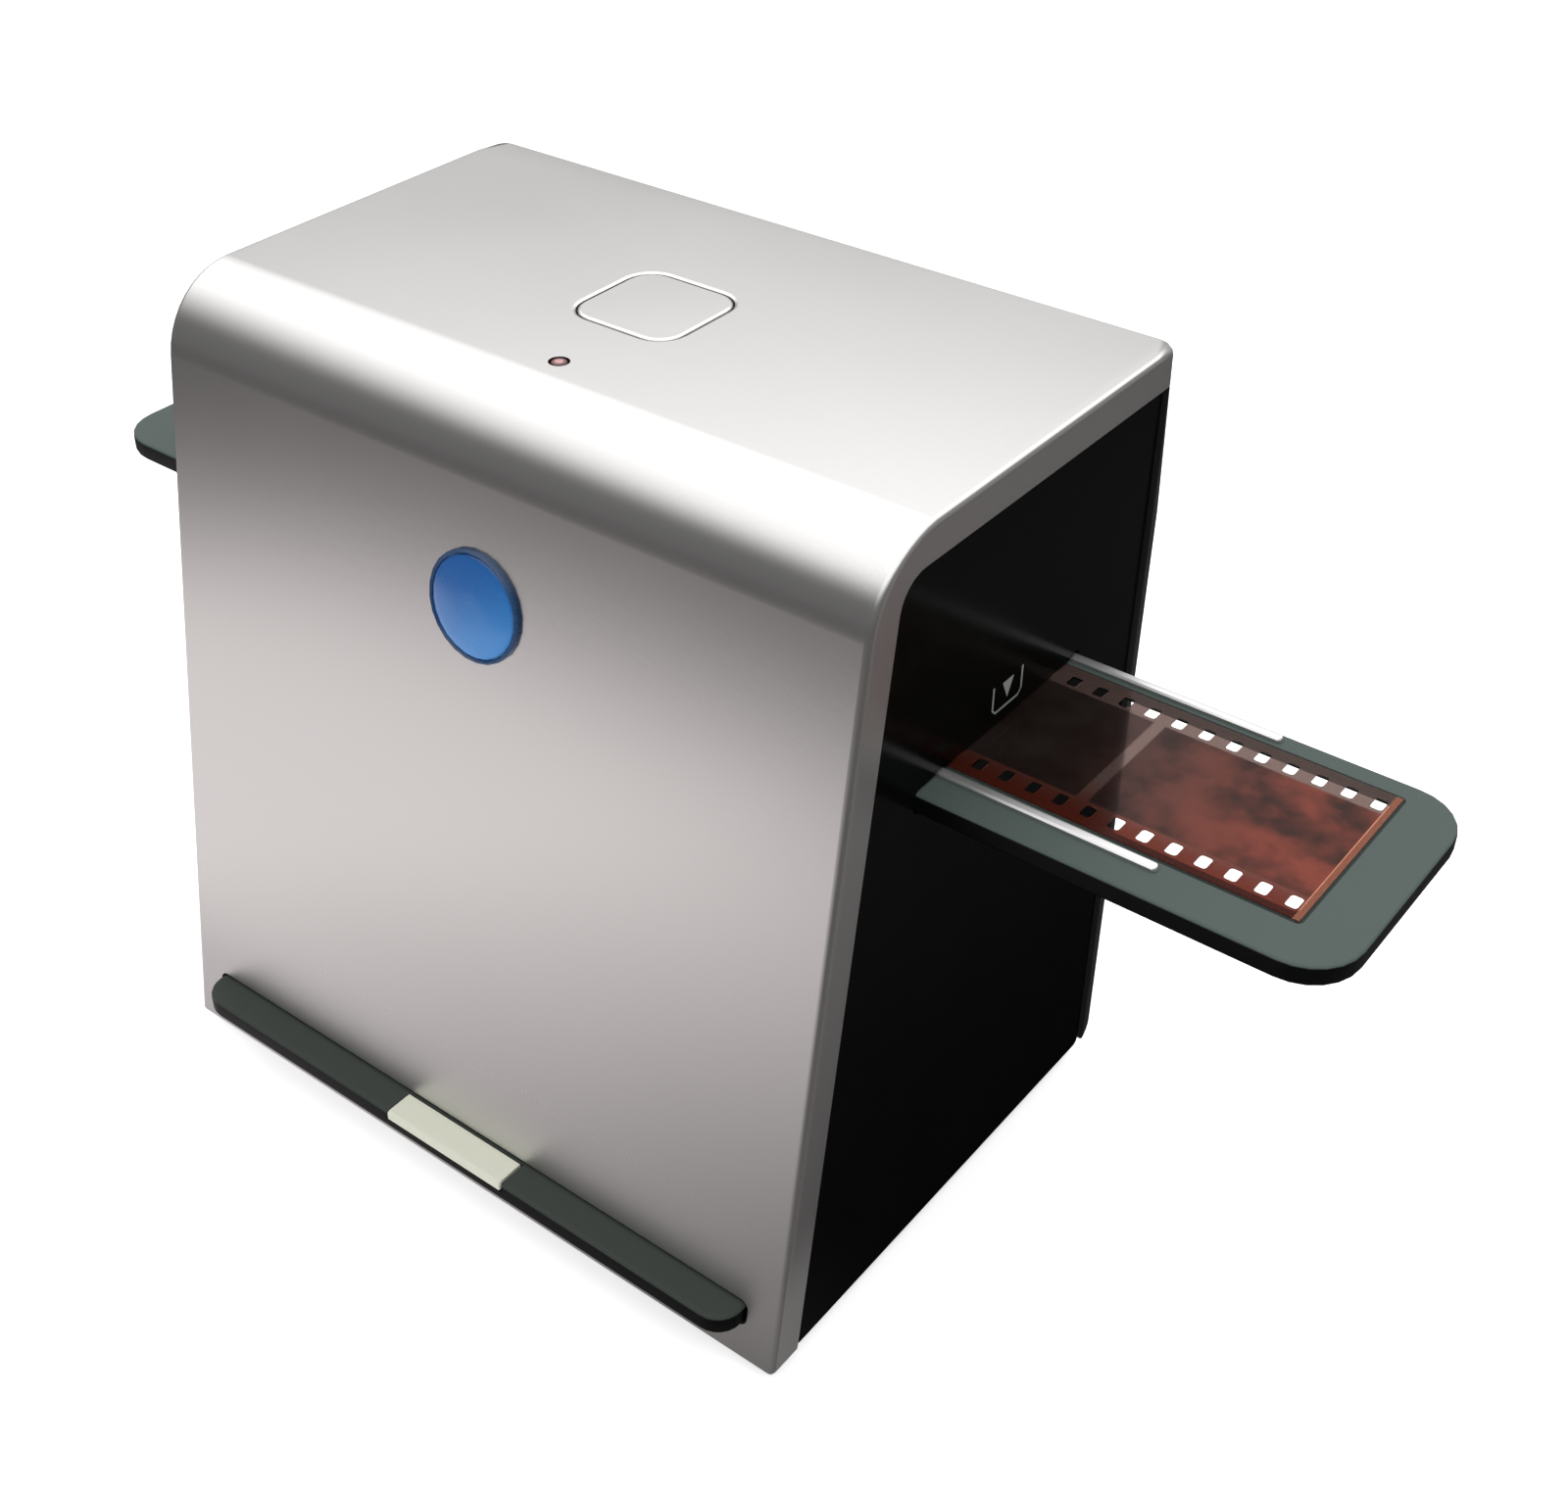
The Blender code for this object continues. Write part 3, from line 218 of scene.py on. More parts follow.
def silver_paint():
    finish = Finish("silver_paint", metallic=1.0)
    low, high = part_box("shell_wrap")
    middle = (low.x + high.x) / 2
    half_width = (high.x - low.x) / 2
    across, height = finish.along(0, 2)
    on_rim = abs(across - middle).eased(half_width - 0.3 * millimetre, half_width - 0.1 * millimetre)
    low_edge = 1 - height.eased(0.014, 0.036)
    flakes = finish.noise(0.25 * millimetre, 1.0)
    drift = finish.noise(38 * millimetre, 2.0)
    peel_and_shade_line = finish.noise(1.1 * millimetre, 2.0)
    finish.feed(
        base_color=finish.blend(flakes * 0.55 + drift * 0.25, (0.63, 0.62, 0.61), (0.74, 0.73, 0.72)),
        roughness=0.19 + drift * 0.04 + flakes * 0.04 + on_rim * 0.30 + low_edge * 0.22,
        normal=finish.bump(peel_and_shade_line, 0.003 * millimetre),
    )
    return finish


def polished_black():
    finish = Finish("polished_black", specular_ior_level=0.03)
    haze = finish.noise(24 * millimetre, 3.0)
    wiped = finish.noise(1.4 * millimetre, 2.0, finish.stretched((1.0, 0.25, 1.0)))
    finish.feed(
        base_color=finish.blend(haze, (0.0010, 0.0013, 0.0011), (0.0020, 0.0025, 0.0022)),
        roughness=0.12 + haze * 0.07 + wiped * 0.05,
        normal=finish.bump(finish.noise(6 * millimetre), 0.006 * millimetre),
    )
    return finish


def grained_plastic(name, dark, light, roughness, grain=0.35, depth=0.02):
    """Plastic from a spark-eroded mould: fine pits, and a shine that drifts a little."""
    finish = Finish(name)
    pits = finish.noise(grain * millimetre, 3.0)
    drift = finish.noise(22 * millimetre, 2.0)
    finish.feed(
        base_color=finish.blend(pits * 0.5 + drift * 0.4, dark, light),
        roughness=roughness + drift * 0.10 - pits * 0.06,
        normal=finish.bump(pits, depth * millimetre),
    )
    return finish


silver = silver_paint()
black_gloss = polished_black()
black_matt = grained_plastic("grained_black", (0.010, 0.010, 0.010), (0.022, 0.022, 0.022), 0.52)
rubber = grained_plastic("foot_rubber", (0.016, 0.016, 0.017), (0.034, 0.034, 0.035), 0.78, 0.5, 0.03)
print("finishes so far:", len(bpy.data.materials))

# %% [markdown]
# ## Finishes of the trays and the small parts
# The trays are grey-green on their top face, and their sides, below a line a little under the top, are
# painted near black as painted shade, so the colour follows the height of a point. The grip is cream,
# the light box and its covers are a milky white. Rails are white-silver, rubbed along their length, so
# the noise is stretched along X. Boards have copper tracks under their green lacquer, which a grid of
# cells with soft edges suggests.

# %% Tray plastics, metals and boards
def drawn_metal(name, dark, light, roughness, lines=(0.02, 1.0, 1.0)):
    finish = Finish(name, metallic=1.0)
    drawn = finish.noise(0.18 * millimetre, 2.0, finish.stretched(lines))
    rubbed = finish.noise(9 * millimetre, 3.0)
    finish.feed(
        base_color=finish.blend(drawn, dark, light),
        roughness=roughness + rubbed * 0.12 + drawn * 0.08,
        normal=finish.bump(drawn, 0.003 * millimetre),
    )
    return finish


def lacquered_board():
    finish = Finish("lacquered_board", coat_weight=0.5, coat_roughness=0.2)
    tracks = finish.cells(2.6 * millimetre).eased(0.30, 0.36)
    weave = finish.noise(0.4 * millimetre, 1.0)
    finish.feed(
        base_color=finish.blend(tracks, (0.012, 0.085, 0.035), (0.020, 0.150, 0.060)),
        roughness=0.36 + weave * 0.15,
        normal=finish.bump(tracks + weave * 0.2, 0.03 * millimetre),
    )
    return finish


def milky_plastic():
    finish = Finish("milky_plastic", subsurface_weight=0.15, subsurface_scale=0.003)
    drift = finish.noise(14 * millimetre, 2.0)
    grain = finish.noise(0.5 * millimetre, 2.0)
    finish.feed(
        base_color=finish.blend(drift, (0.80, 0.80, 0.78), (0.88, 0.88, 0.87)),
        roughness=0.42 + drift * 0.1,
        normal=finish.bump(grain, 0.01 * millimetre),
    )
    return finish


def tray_with_painted_shade(node, dark, light, roughness, peel_and_shade_line):
    """Grey-green plastic on top; below a line a little under the top, the sides are painted near black as
    painted shade.
    """
    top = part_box(node)[1].z
    finish = Finish(node + "_painted_shade", specular_ior_level=0.10)
    height, = finish.along(2)
    above_shade_line = height.eased(top - peel_and_shade_line - 0.15 * millimetre, top - peel_and_shade_line + 0.15 * millimetre)
    pits = finish.noise(0.30 * millimetre, 3.0)
    drift = finish.noise(22 * millimetre, 2.0)
    coloured = finish.blend(pits * 0.5 + drift * 0.4, dark, light)
    # The near-black colour below the shade line is painted shade on the tray's sides.
    finish.feed(
        base_color=finish.blend(above_shade_line, (0.0015, 0.0018, 0.0017), coloured),
        roughness=roughness + drift * 0.08 - pits * 0.05,
        normal=finish.bump(pits, 0.010 * millimetre),
    )
    return finish


# How far under each tray's top the painted shade of its sides begins.
film_shade_line, print_shade_line = 0.35 * millimetre, 0.70 * millimetre
tray_plastic = tray_with_painted_shade("film_tray", (0.076, 0.098, 0.090), (0.096, 0.122, 0.113), 0.40, film_shade_line)
# The print tray's grey-green is set darker than the film tray's: painted shade under the leaning front face.
bar_plastic = tray_with_painted_shade("print_tray", (0.040, 0.048, 0.043), (0.052, 0.061, 0.055), 0.40, print_shade_line)
cream = grained_plastic("cream_plastic", (0.66, 0.67, 0.55), (0.74, 0.75, 0.64), 0.40, 0.40, 0.008)
chip_resin = grained_plastic("chip_resin", (0.014, 0.014, 0.015), (0.030, 0.030, 0.031), 0.55, 0.20, 0.010)
rail_metal = drawn_metal("white_silver_rail", (0.78, 0.775, 0.77), (0.90, 0.895, 0.89), 0.26)
steel = drawn_metal("bright_steel", (0.50, 0.50, 0.51), (0.66, 0.66, 0.67), 0.24, (1.0, 1.0, 0.1))
board_green = lacquered_board()
white_plastic = milky_plastic()
print("finishes so far:", len(bpy.data.materials))

# %% [markdown]
# ## Finishes that light shines through
# The lamp is a clear red rod and the badge a blue disc under a thick clear dome, so a coat does most of the
# work. The lens is glass with a thin purple film on it, which the coat's tint gives.

# %% Lamp, badge and lens
def clear_red(centre, radius):
    """A thick dark wall, and a pale middle where the lamp below shines through."""
    finish = Finish("clear_red", emission_strength=0.30, coat_weight=0.5, coat_roughness=0.05)
    across, along = finish.along(0, 1)
    aside, ahead = across - centre.x, along - centre.y
    from_middle = (aside * aside + ahead * ahead).power(0.5) / radius
    wall = from_middle.eased(0.35, 0.62)
    drift = finish.noise(0.8 * millimetre, 2.0)
    glow = finish.blend(drift, (0.40, 0.16, 0.15), (0.55, 0.26, 0.25))
    finish.feed(
        base_color=finish.blend(wall, glow, (0.075, 0.014, 0.016)),
        emission_color=finish.blend(wall, glow, (0.0, 0.0, 0.0)),
        roughness=0.18 + drift * 0.1,
    )
    return finish


def domed_blue(centre, radius):
    """Deep blue at the upper rim, lighter towards the lower right, as light gathers in a thick clear dome."""
    finish = Finish("domed_blue", coat_weight=0.5, coat_roughness=0.04, specular_ior_level=0.3)
    across, height = finish.along(0, 2)
    slant = (across - centre.x) * 0.5 - (height - centre.z) * 0.9
    low_light = (slant / radius).eased(-0.9, 1.1)
    speck = finish.noise(0.5 * millimetre, 2.0)
    finish.feed(
        base_color=finish.blend(low_light + speck * 0.08, (0.010, 0.090, 0.31), (0.030, 0.200, 0.52)),
        roughness=0.22 + speck * 0.08,
    )
    return finish


def coated_glass():
    purple = (0.72, 0.55, 0.95)
    finish = Finish("coated_glass", transmission_weight=0.6, ior=1.5, coat_weight=1.0, coat_tint=purple)
    dust = finish.noise(1.2 * millimetre, 3.0)
    finish.feed(
        base_color=finish.blend(dust, (0.02, 0.02, 0.03), (0.05, 0.05, 0.07)),
        roughness=0.03 + dust * 0.05,
    )
    return finish


badge_low, badge_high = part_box("badge_dome")
lamp_low, lamp_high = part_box("power_lamp")
lamp_radius = 1.45 * millimetre
lamp_red = clear_red((lamp_low + lamp_high) / 2, lamp_radius)
badge_blue = domed_blue((badge_low + badge_high) / 2, (badge_high.x - badge_low.x) / 2)
dark_blue, light_blue = (0.010, 0.040, 0.110), (0.020, 0.065, 0.160)
rim_dark = grained_plastic("badge_rim_plastic", dark_blue, light_blue, 0.25, 0.4, 0.004)
lens_glass = coated_glass()
print("badge is", round((badge_high.x - badge_low.x) * 1000, 1), "mm wide")

# %% [markdown]
# ## From loose triangles to moulded parts
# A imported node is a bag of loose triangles, which shades as facets. A real moulding has whole faces that
# meet in small rounds. So a copy is joined, its flat faces are made whole, its edges get a narrow round and
# its normals follow the large faces. The solid itself stays as it is: the copy stands for it.

# %% Copies with joined faces and rounded edges
def link(name, mesh):
    piece = bpy.data.objects.new(name, mesh)
    scene.collection.objects.link(piece)
    return piece


def plain_mesh(piece):
    """The piece's shape with its modifiers done, in a mesh of its own."""
    graph = bpy.context.evaluated_depsgraph_get()
    finished = bpy.data.meshes.new_from_object(piece.evaluated_get(graph), depsgraph=graph)
    piece.modifiers.clear()
    piece.data = finished
    return piece


def shade(piece, sharp_angle=40):
    """Smooth over soft bends, sharp over corners, with normals that keep large faces flat."""
    mesh = piece.data
    mesh.shade_smooth()
    mesh.set_sharp_from_angle(angle=radians(sharp_angle))
    weighted = piece.modifiers.new("flat faces stay flat", "WEIGHTED_NORMAL")
    weighted.keep_sharp = True
    return plain_mesh(piece)


def fasten(piece, finish, slot, body, *nodes):
    """Gives the piece its finish, and its place on a body instead of the nodes it stands for."""
    piece.data.materials.clear()
    piece.data.materials.append(finish.material)
    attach(piece, body)
    if nodes:
        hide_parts(*nodes)
    return piece


def moulded(node, finish, slot, edge=0.2 * millimetre, steps=2, corner=45, split=False):
    """A rounded copy of a CAD node, standing for it. Split keeps triangles where a face has an opening."""
    form = bmesh.new()
    form.from_mesh(frame["nodes"][node].data)
    bmesh.ops.remove_doubles(form, verts=form.verts, dist=0.001 * millimetre)
    bmesh.ops.dissolve_limit(form, angle_limit=radians(0.3), verts=form.verts, edges=form.edges)
    if split:
        bmesh.ops.triangulate(form, faces=[face for face in form.faces if len(face.verts) > 4])
    if edge:
        sharp = [line for line in form.edges if line.is_manifold and line.calc_face_angle() > radians(corner)]
        bmesh.ops.bevel(
            form, geom=sharp, offset=edge, segments=steps, profile=0.5, affect="EDGES", clamp_overlap=True
        )
    mesh = bpy.data.meshes.new(node + "_moulded")
    form.to_mesh(mesh)
    form.free()
    piece = shade(link(node + "_moulded", mesh))
    return fasten(piece, finish, slot, body_of_node[node], node)


wrap = moulded("shell_wrap", silver, "silver_paint", 0.25 * millimetre)
for side in ("left", "right"):
    moulded("side_panel_" + side, black_gloss, "black_gloss", split=True)
moulded("rear_panel", black_matt, "black_matt", split=True)
moulded("base_plate", black_matt, "black_matt")
print("wrap has", len(wrap.data.polygons), "faces")

# %% [markdown]
# The trays, the grip and the button are mouldings too, so they are made in the same way, and only the width
# of the round differs: the thinner the wall, the smaller the round. The badge's dome is curved already and
# needs none.

# %% Trays, grip, button and feet
moulded("film_tray", tray_plastic, "tray_grey", 0.1 * millimetre)
moulded("print_tray", bar_plastic, "bar_grey", 0.2 * millimetre)
moulded("tray_grip", cream, "cream_plastic", 0.15 * millimetre)
moulded("copy_button", silver, "silver_paint", 0.2 * millimetre)
for side in ("front", "back"):
    moulded("film_rail_" + side, rail_metal, "rail_silver", 0.1 * millimetre)
feet = [node for node in sorted(frame["nodes"]) if node.startswith("foot_")]
for foot in feet:
    moulded(foot, rubber, "soft_rubber", 0.15 * millimetre)
moulded("badge_ring", rim_dark, "badge_rim_dark", 0.1 * millimetre)
moulded("badge_dome", badge_blue, "badge_blue", 0.0)
moulded("power_lamp", lamp_red, "lamp_red", 0.1 * millimetre)
print("feet:", len(feet))

# %% [markdown]
# ## The strip of film
# Colour negative film is an orange sheet with a row of perforations along each edge, eight to a frame, and
# darker pictures between the rows. One cell with its two perforations, repeated forty times, is the whole
# strip, which is what Geometry Nodes do best. The sheet is a real filter: what lies behind it shows through
# it.
# The sheet lies a hair above the tray, because two faces in one plane would show through each other.

# %% One perforation cell and its repeat
film_low, film_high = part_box("film_strip")
frames_on_strip = 5
perforations_per_frame = 8
cell_count = frames_on_strip * perforations_per_frame
cell_length = (film_high.x - film_low.x) / cell_count
frame_pitch = cell_length * perforations_per_frame
film_width = film_high.y - film_low.y
film_middle = (film_low.y + film_high.y) / 2
hole_length = 1.981 * millimetre
hole_width = 2.794 * millimetre
hole_corner = 0.5 * millimetre
hole_to_edge = 2.010 * millimetre
hole_row = film_width / 2 - hole_to_edge - hole_width / 2
film_lift = 0.02 * millimetre


def round_rectangle(centre, length, width, corner, steps=3):
    """The points of a rectangle with round corners, anticlockwise."""
    points = []
    for turn, (across, along) in enumerate(((1, 1), (-1, 1), (-1, -1), (1, -1))):
        corner_x = centre[0] + across * (length / 2 - corner)
        corner_y = centre[1] + along * (width / 2 - corner)
        for step in range(steps + 1):
            angle = pi / 2 * (turn + step / steps)
            points.append((corner_x + corner * cos(angle), corner_y + corner * sin(angle)))
    return points


def flat_sheet(name, outlines, height=0.0):
    """A flat face with holes: the first outline is its edge and the others are the holes."""
    form = bmesh.new()
    edges = []
    for outline in outlines:
        corners = [form.verts.new((x, y, height)) for x, y in outline]
        edges += [form.edges.new(pair) for pair in zip(corners, corners[1:] + corners[:1])]
    bmesh.ops.triangle_fill(form, edges=edges, use_beauty=True, normal=(0, 0, 1))
    bmesh.ops.recalc_face_normals(form, faces=form.faces)
    if sum(face.normal.z for face in form.faces) < 0:
        bmesh.ops.reverse_faces(form, faces=form.faces)
    mesh = bpy.data.meshes.new(name)
    form.to_mesh(mesh)
    form.free()
    return mesh


def film_cell():
    """One eighth of a frame, with the perforation of either edge."""
    right, top = cell_length / 2, film_width / 2
    edge = ((right, top), (-right, top), (-right, -top), (right, -top))
    holes = [round_rectangle((0, way * hole_row), hole_length, hole_width, hole_corner) for way in (-1, 1)]
    return flat_sheet("film_cell", [edge, *holes])


print("a cell is", round(cell_length * 1000, 3), "mm long, and there are", cell_count)


# %% [markdown]
# The tree has four steps: a line of points, the cell on each of them, the seams between cells merged, and
# the sheet given its thickness. Its inputs are the cell, the count, the pitch and the thickness, so another
# length of film needs no new mesh.

# %% The film's node tree
class Tree:
    """A Geometry Nodes tree that is filled from Python."""

    def __init__(self, name, inputs):
        self.tree = bpy.data.node_groups.new(name, "GeometryNodeTree")
        self.tree.interface.new_socket("Geometry", in_out="INPUT", socket_type="NodeSocketGeometry")
        self.tree.interface.new_socket("Geometry", in_out="OUTPUT", socket_type="NodeSocketGeometry")
        self.identifiers = {}
        for label, kind in inputs.items():
            socket = self.tree.interface.new_socket(label, in_out="INPUT", socket_type=kind)
            self.identifiers[label] = socket.identifier
        self.start = self.tree.nodes.new("NodeGroupInput")
        self.end = self.tree.nodes.new("NodeGroupOutput")

    def input(self, label):
        return self.start.outputs[label]

    def add(self, kind, inputs=None, **settings):
        made = self.tree.nodes.new(kind)
        for name, value in settings.items():
            setattr(made, name, value)
        for key, value in (inputs or {}).items():
            socket = socket_named(made.inputs, key)
            if isinstance(value, bpy.types.NodeSocket):
                self.tree.links.new(value, socket)
            else:
                socket.default_value = value
        return made.outputs[0]

    def join(self, *parts):
        joined = self.add("GeometryNodeJoinGeometry")
        for part in parts:
            self.tree.links.new(part, joined.node.inputs[0])
        return joined

    def close(self, geometry, finish):
        """Real geometry in the piece's finish: the last two steps of every tree here."""
        whole = self.add("GeometryNodeRealizeInstances", {0: geometry})
        painted = self.add("GeometryNodeSetMaterial", {0: whole, "Material": finish.material})
        self.tree.links.new(painted, self.end.inputs[0])

    def grow(self, name, values):
        """Runs the tree once with these input values, and keeps the result as a plain mesh."""
        piece = link(name, bpy.data.meshes.new(name))
        modifier = piece.modifiers.new(name, "NODES")
        modifier.node_group = self.tree
        for label, value in values.items():
            modifier[self.identifiers[label]] = value
        piece = plain_mesh(piece)
        piece.data.name = name
        return piece


def film_finish():
    """An orange sheet. Pictures are darker, with soft generic shapes, and a clear line divides them. Its
    colour also holds painted shade towards the body, a painted reflection towards the far edge and a painted
    highlight at the cut end.
    """
    finish = Finish("negative_film", transmission_weight=0.70, ior=1.12)
    across, along = finish.along(0, 1)
    in_frame = (across - film_low.x).wrapped(frame_pitch)
    from_divider = (in_frame.lowest(frame_pitch - in_frame) - 0.8 * millimetre).eased(0.0, 0.4 * millimetre)
    from_rows = (12.2 * millimetre - abs(along - film_middle)).eased(0.0, 0.4 * millimetre)
    picture = from_divider * from_rows
    shapes = finish.noise(13 * millimetre, 4.0)
    small_shapes = finish.noise(4 * millimetre, 5.0)
    density = (shapes * 0.75 + small_shapes * 0.25).eased(0.36, 0.62)
    # Painted shade: the clear parts of the pictures darken from orange to grey-brown away from the outer end,
    # towards the body.
    body_shade = (film_high.x - across).eased(0.004, 0.050)
    shaded_clear_tone = finish.blend(body_shade, (0.230, 0.058, 0.040), (0.060, 0.044, 0.040))
    scene_tone = finish.blend(density, shaded_clear_tone, (0.036, 0.022, 0.019))
    # Painted reflection: the sheet is orange by its near edge and greyer from there to the far edge.
    clear_of_reflection = (film_middle - along).eased(0.004, 0.016)
    sheet = finish.blend(clear_of_reflection, (0.20, 0.135, 0.120), (0.150, 0.030, 0.018))
    # Painted highlight: the last 1.1 mm of the cut end is a lighter orange.
    cut_end_highlight = (film_high.x - 1.1 * millimetre - across) < 0.0
    finish.feed(
        base_color=finish.blend(cut_end_highlight, finish.blend(picture, sheet, scene_tone), (0.60, 0.25, 0.16)),
        roughness=0.08 + finish.noise(6 * millimetre) * 0.06,
        normal=finish.bump(finish.noise(18 * millimetre), 0.06 * millimetre),
    )
    return finish


def make_film():
    film = Tree("perforated_film", {
        "Cell": "NodeSocketObject",
        "Count": "NodeSocketInt",
        "Pitch": "NodeSocketVector",
        "First": "NodeSocketVector",
        "Thickness": "NodeSocketFloat",
    })
    points = film.add(
        "GeometryNodeMeshLine",
        {"Count": film.input("Count"), "Start Location": film.input("First"), "Offset": film.input("Pitch")},
    )
    cell = film.add("GeometryNodeObjectInfo", {"Object": film.input("Cell")})
    cell = cell.node.outputs["Geometry"]
    strip = film.add("GeometryNodeInstanceOnPoints", {"Points": points, "Instance": cell})
    sheet = film.add("GeometryNodeMergeByDistance", {
        "Geometry": film.add("GeometryNodeRealizeInstances", {0: strip}),
        "Distance": 0.01 * millimetre,
    })
    raised = film.add("GeometryNodeExtrudeMesh", {
        "Mesh": sheet, "Offset Scale": film.input("Thickness"), "Individual": False,
    })
    under = film.add("GeometryNodeFlipFaces", {"Mesh": sheet})
    solid = film.add(
        "GeometryNodeMergeByDistance", {"Geometry": film.join(under, raised), "Distance": 0.001 * millimetre}
    )
    finish = film_finish()
    film.close(solid, finish)
    cell_object = link("film_cell", film_cell())
    piece = film.grow("negative_strip", {
        "Cell": cell_object,
        "Count": cell_count,
        "Pitch": (cell_length, 0.0, 0.0),
        "First": (film_low.x + cell_length / 2, film_middle, film_low.z + film_lift),
        "Thickness": film_high.z - film_low.z - film_lift,
    })
    bpy.data.objects.remove(cell_object)
    return fasten(piece, finish, "film_brown", "film_strip", "film_strip")


negative = make_film()
print("the strip has", len(negative.data.polygons), "faces")

# %% [markdown]
# ## Sixteen screws
# All the screws are alike: a pan head with a driver's cross, and a rolled thread. They could be modelled
# once and copied by hand, but a node tree keeps the sizes as inputs. It turns a screw's Z axis the way its
# head faces, which is read from the solids and given to the tree as an attribute of sixteen loose points.

# %% Where the screws sit
def screw_seat(node):
    """The middle of a screw's seat, and the way its head faces."""
    low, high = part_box(node)
    middle = (low + high) / 2
    axis = max(range(3), key=lambda index: high[index] - low[index])
    others = [index for index in range(3) if index != axis]
    radius = (high[others[0]] - low[others[0]]) / 2
    levels = []
    for vertex in frame["nodes"][node].data.vertices:
        if sum((vertex.co[index] - middle[index]) ** 2 for index in others) > (0.9 * radius) ** 2:
            levels.append(vertex.co[axis])
    way = 1 if max(levels) > middle[axis] else -1
    seat = middle.copy()
    seat[axis] = min(levels) if way > 0 else max(levels)
    facing = Vector((0, 0, 0))
    facing[axis] = way
    return seat, facing


screw_nodes = [node for node in sorted(frame["nodes"]) if "_screw_" in node]
screw_seats = [screw_seat(node) for node in screw_nodes]
sample_low, sample_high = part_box("base_screw_front_left")
screw_head_radius = (sample_high.x - sample_low.x) / 2
screw_head_height = screw_seats[0][0].z - sample_low.z
screw_length = sample_high.z - sample_low.z - screw_head_height
print("screws:", len(screw_nodes), "head height in mm:", round(screw_head_height * 1000, 2))


# %% [markdown]
# The head is a low cone with a cross cut out of it, and the thread a thin ridge wound round the shank. The
# ridge only has to look right in a gap between parts, so it has four sides.

# %% A tree that makes a screw and sets it on every point
head_taper = 0.86


def screw_tree():
    screws = Tree("pan_head_screws", {
        "Places": "NodeSocketObject",
        "Head Radius": "NodeSocketFloat",
        "Head Height": "NodeSocketFloat",
        "Shank Radius": "NodeSocketFloat",
        "Shank Depth": "NodeSocketVector",
        "Shank Length": "NodeSocketFloat",
        "Turns": "NodeSocketFloat",
        "Thread Radius": "NodeSocketFloat",
        "Cross Long": "NodeSocketVector",
        "Cross Wide": "NodeSocketVector",
        "Cross Place": "NodeSocketVector",
    })
    low_radius = screws.input("Head Radius")
    top_radius = screws.add("ShaderNodeMath", {0: low_radius, 1: head_taper}, operation="MULTIPLY")
    head = screws.add("GeometryNodeMeshCone", {
        "Vertices": 24, "Radius Bottom": low_radius, "Radius Top": top_radius,
        "Depth": screws.input("Head Height"),
    })
    arms = []
    for size in ("Cross Long", "Cross Wide"):
        arm = screws.add("GeometryNodeMeshCube", {"Size": screws.input(size)})
        arms.append(screws.add("GeometryNodeTransform", {0: arm, "Translation": screws.input("Cross Place")}))
    for arm in arms:
        head = screws.add("GeometryNodeMeshBoolean", {"Mesh 1": head, "Mesh 2": arm}, operation="DIFFERENCE")
    shank_radius, shank_length = screws.input("Shank Radius"), screws.input("Shank Length")
    shank = screws.add("GeometryNodeMeshCone", {
        "Vertices": 16, "Radius Top": shank_radius, "Radius Bottom": shank_radius, "Depth": shank_length,
    })
    ridge = screws.add("GeometryNodeCurveToMesh", {
        "Curve": screws.add("GeometryNodeCurveSpiral", {
            "Resolution": 16, "Rotations": screws.input("Turns"), "Height": shank_length,
            "Start Radius": shank_radius, "End Radius": shank_radius,
        }),
        "Profile Curve": screws.add(
            "GeometryNodeCurvePrimitiveCircle", {"Resolution": 4, "Radius": screws.input("Thread Radius")}
        ),
        "Fill Caps": True,
    })
    depth = screws.input("Shank Depth")
    below = [screws.add("GeometryNodeTransform", {0: part, "Translation": depth}) for part in (shank, ridge)]
    whole = screws.join(head, *below)
    points = screws.add("GeometryNodeObjectInfo", {"Object": screws.input("Places")}).node.outputs["Geometry"]
    facing = screws.add("GeometryNodeInputNamedAttribute", {"Name": "facing"}, data_type="FLOAT_VECTOR")
    turn = screws.add("FunctionNodeAlignRotationToVector", {"Vector": facing}, axis="Z")
    set_down = screws.add(
        "GeometryNodeInstanceOnPoints", {"Points": points, "Instance": whole, "Rotation": turn}
    )
    screws.close(set_down, steel)
    return screws


def make_screws():
    places = bpy.data.meshes.new("screw_places")
    places.from_pydata([seat for seat, facing in screw_seats], [], [])
    facings = places.attributes.new("facing", "FLOAT_VECTOR", "POINT")
    for entry, (seat, facing) in zip(facings.data, screw_seats):
        entry.vector = facing
    places = link("screw_places", places)
    shank_length = screw_length - 0.1 * millimetre
    piece = screw_tree().grow("screws", {
        "Places": places,
        "Head Radius": screw_head_radius,
        "Head Height": screw_head_height,
        "Shank Radius": 1.15 * millimetre,
        "Shank Depth": (0.0, 0.0, -shank_length),
        "Shank Length": shank_length,
        "Turns": 7.0,
        "Thread Radius": 0.22 * millimetre,
        "Cross Long": (2.6 * millimetre, 0.5 * millimetre, 1.2 * millimetre),
        "Cross Wide": (0.5 * millimetre, 2.6 * millimetre, 1.2 * millimetre),
        "Cross Place": (0.0, 0.0, screw_head_height),
    })
    bpy.data.objects.remove(places)
    return fasten(piece, steel, "bright_steel", "housing", *screw_nodes)


screws = make_screws()
print("all screws have", len(screws.data.polygons), "faces")

# %% [markdown]
# ## Rows of small parts
# The processor has fourteen bent legs on each side, and the plug between the two boards has two rows of
# pins. A row is a shape, a count and a pitch, so one tree makes them all. The shapes have only a few faces,
# because there are many of them.

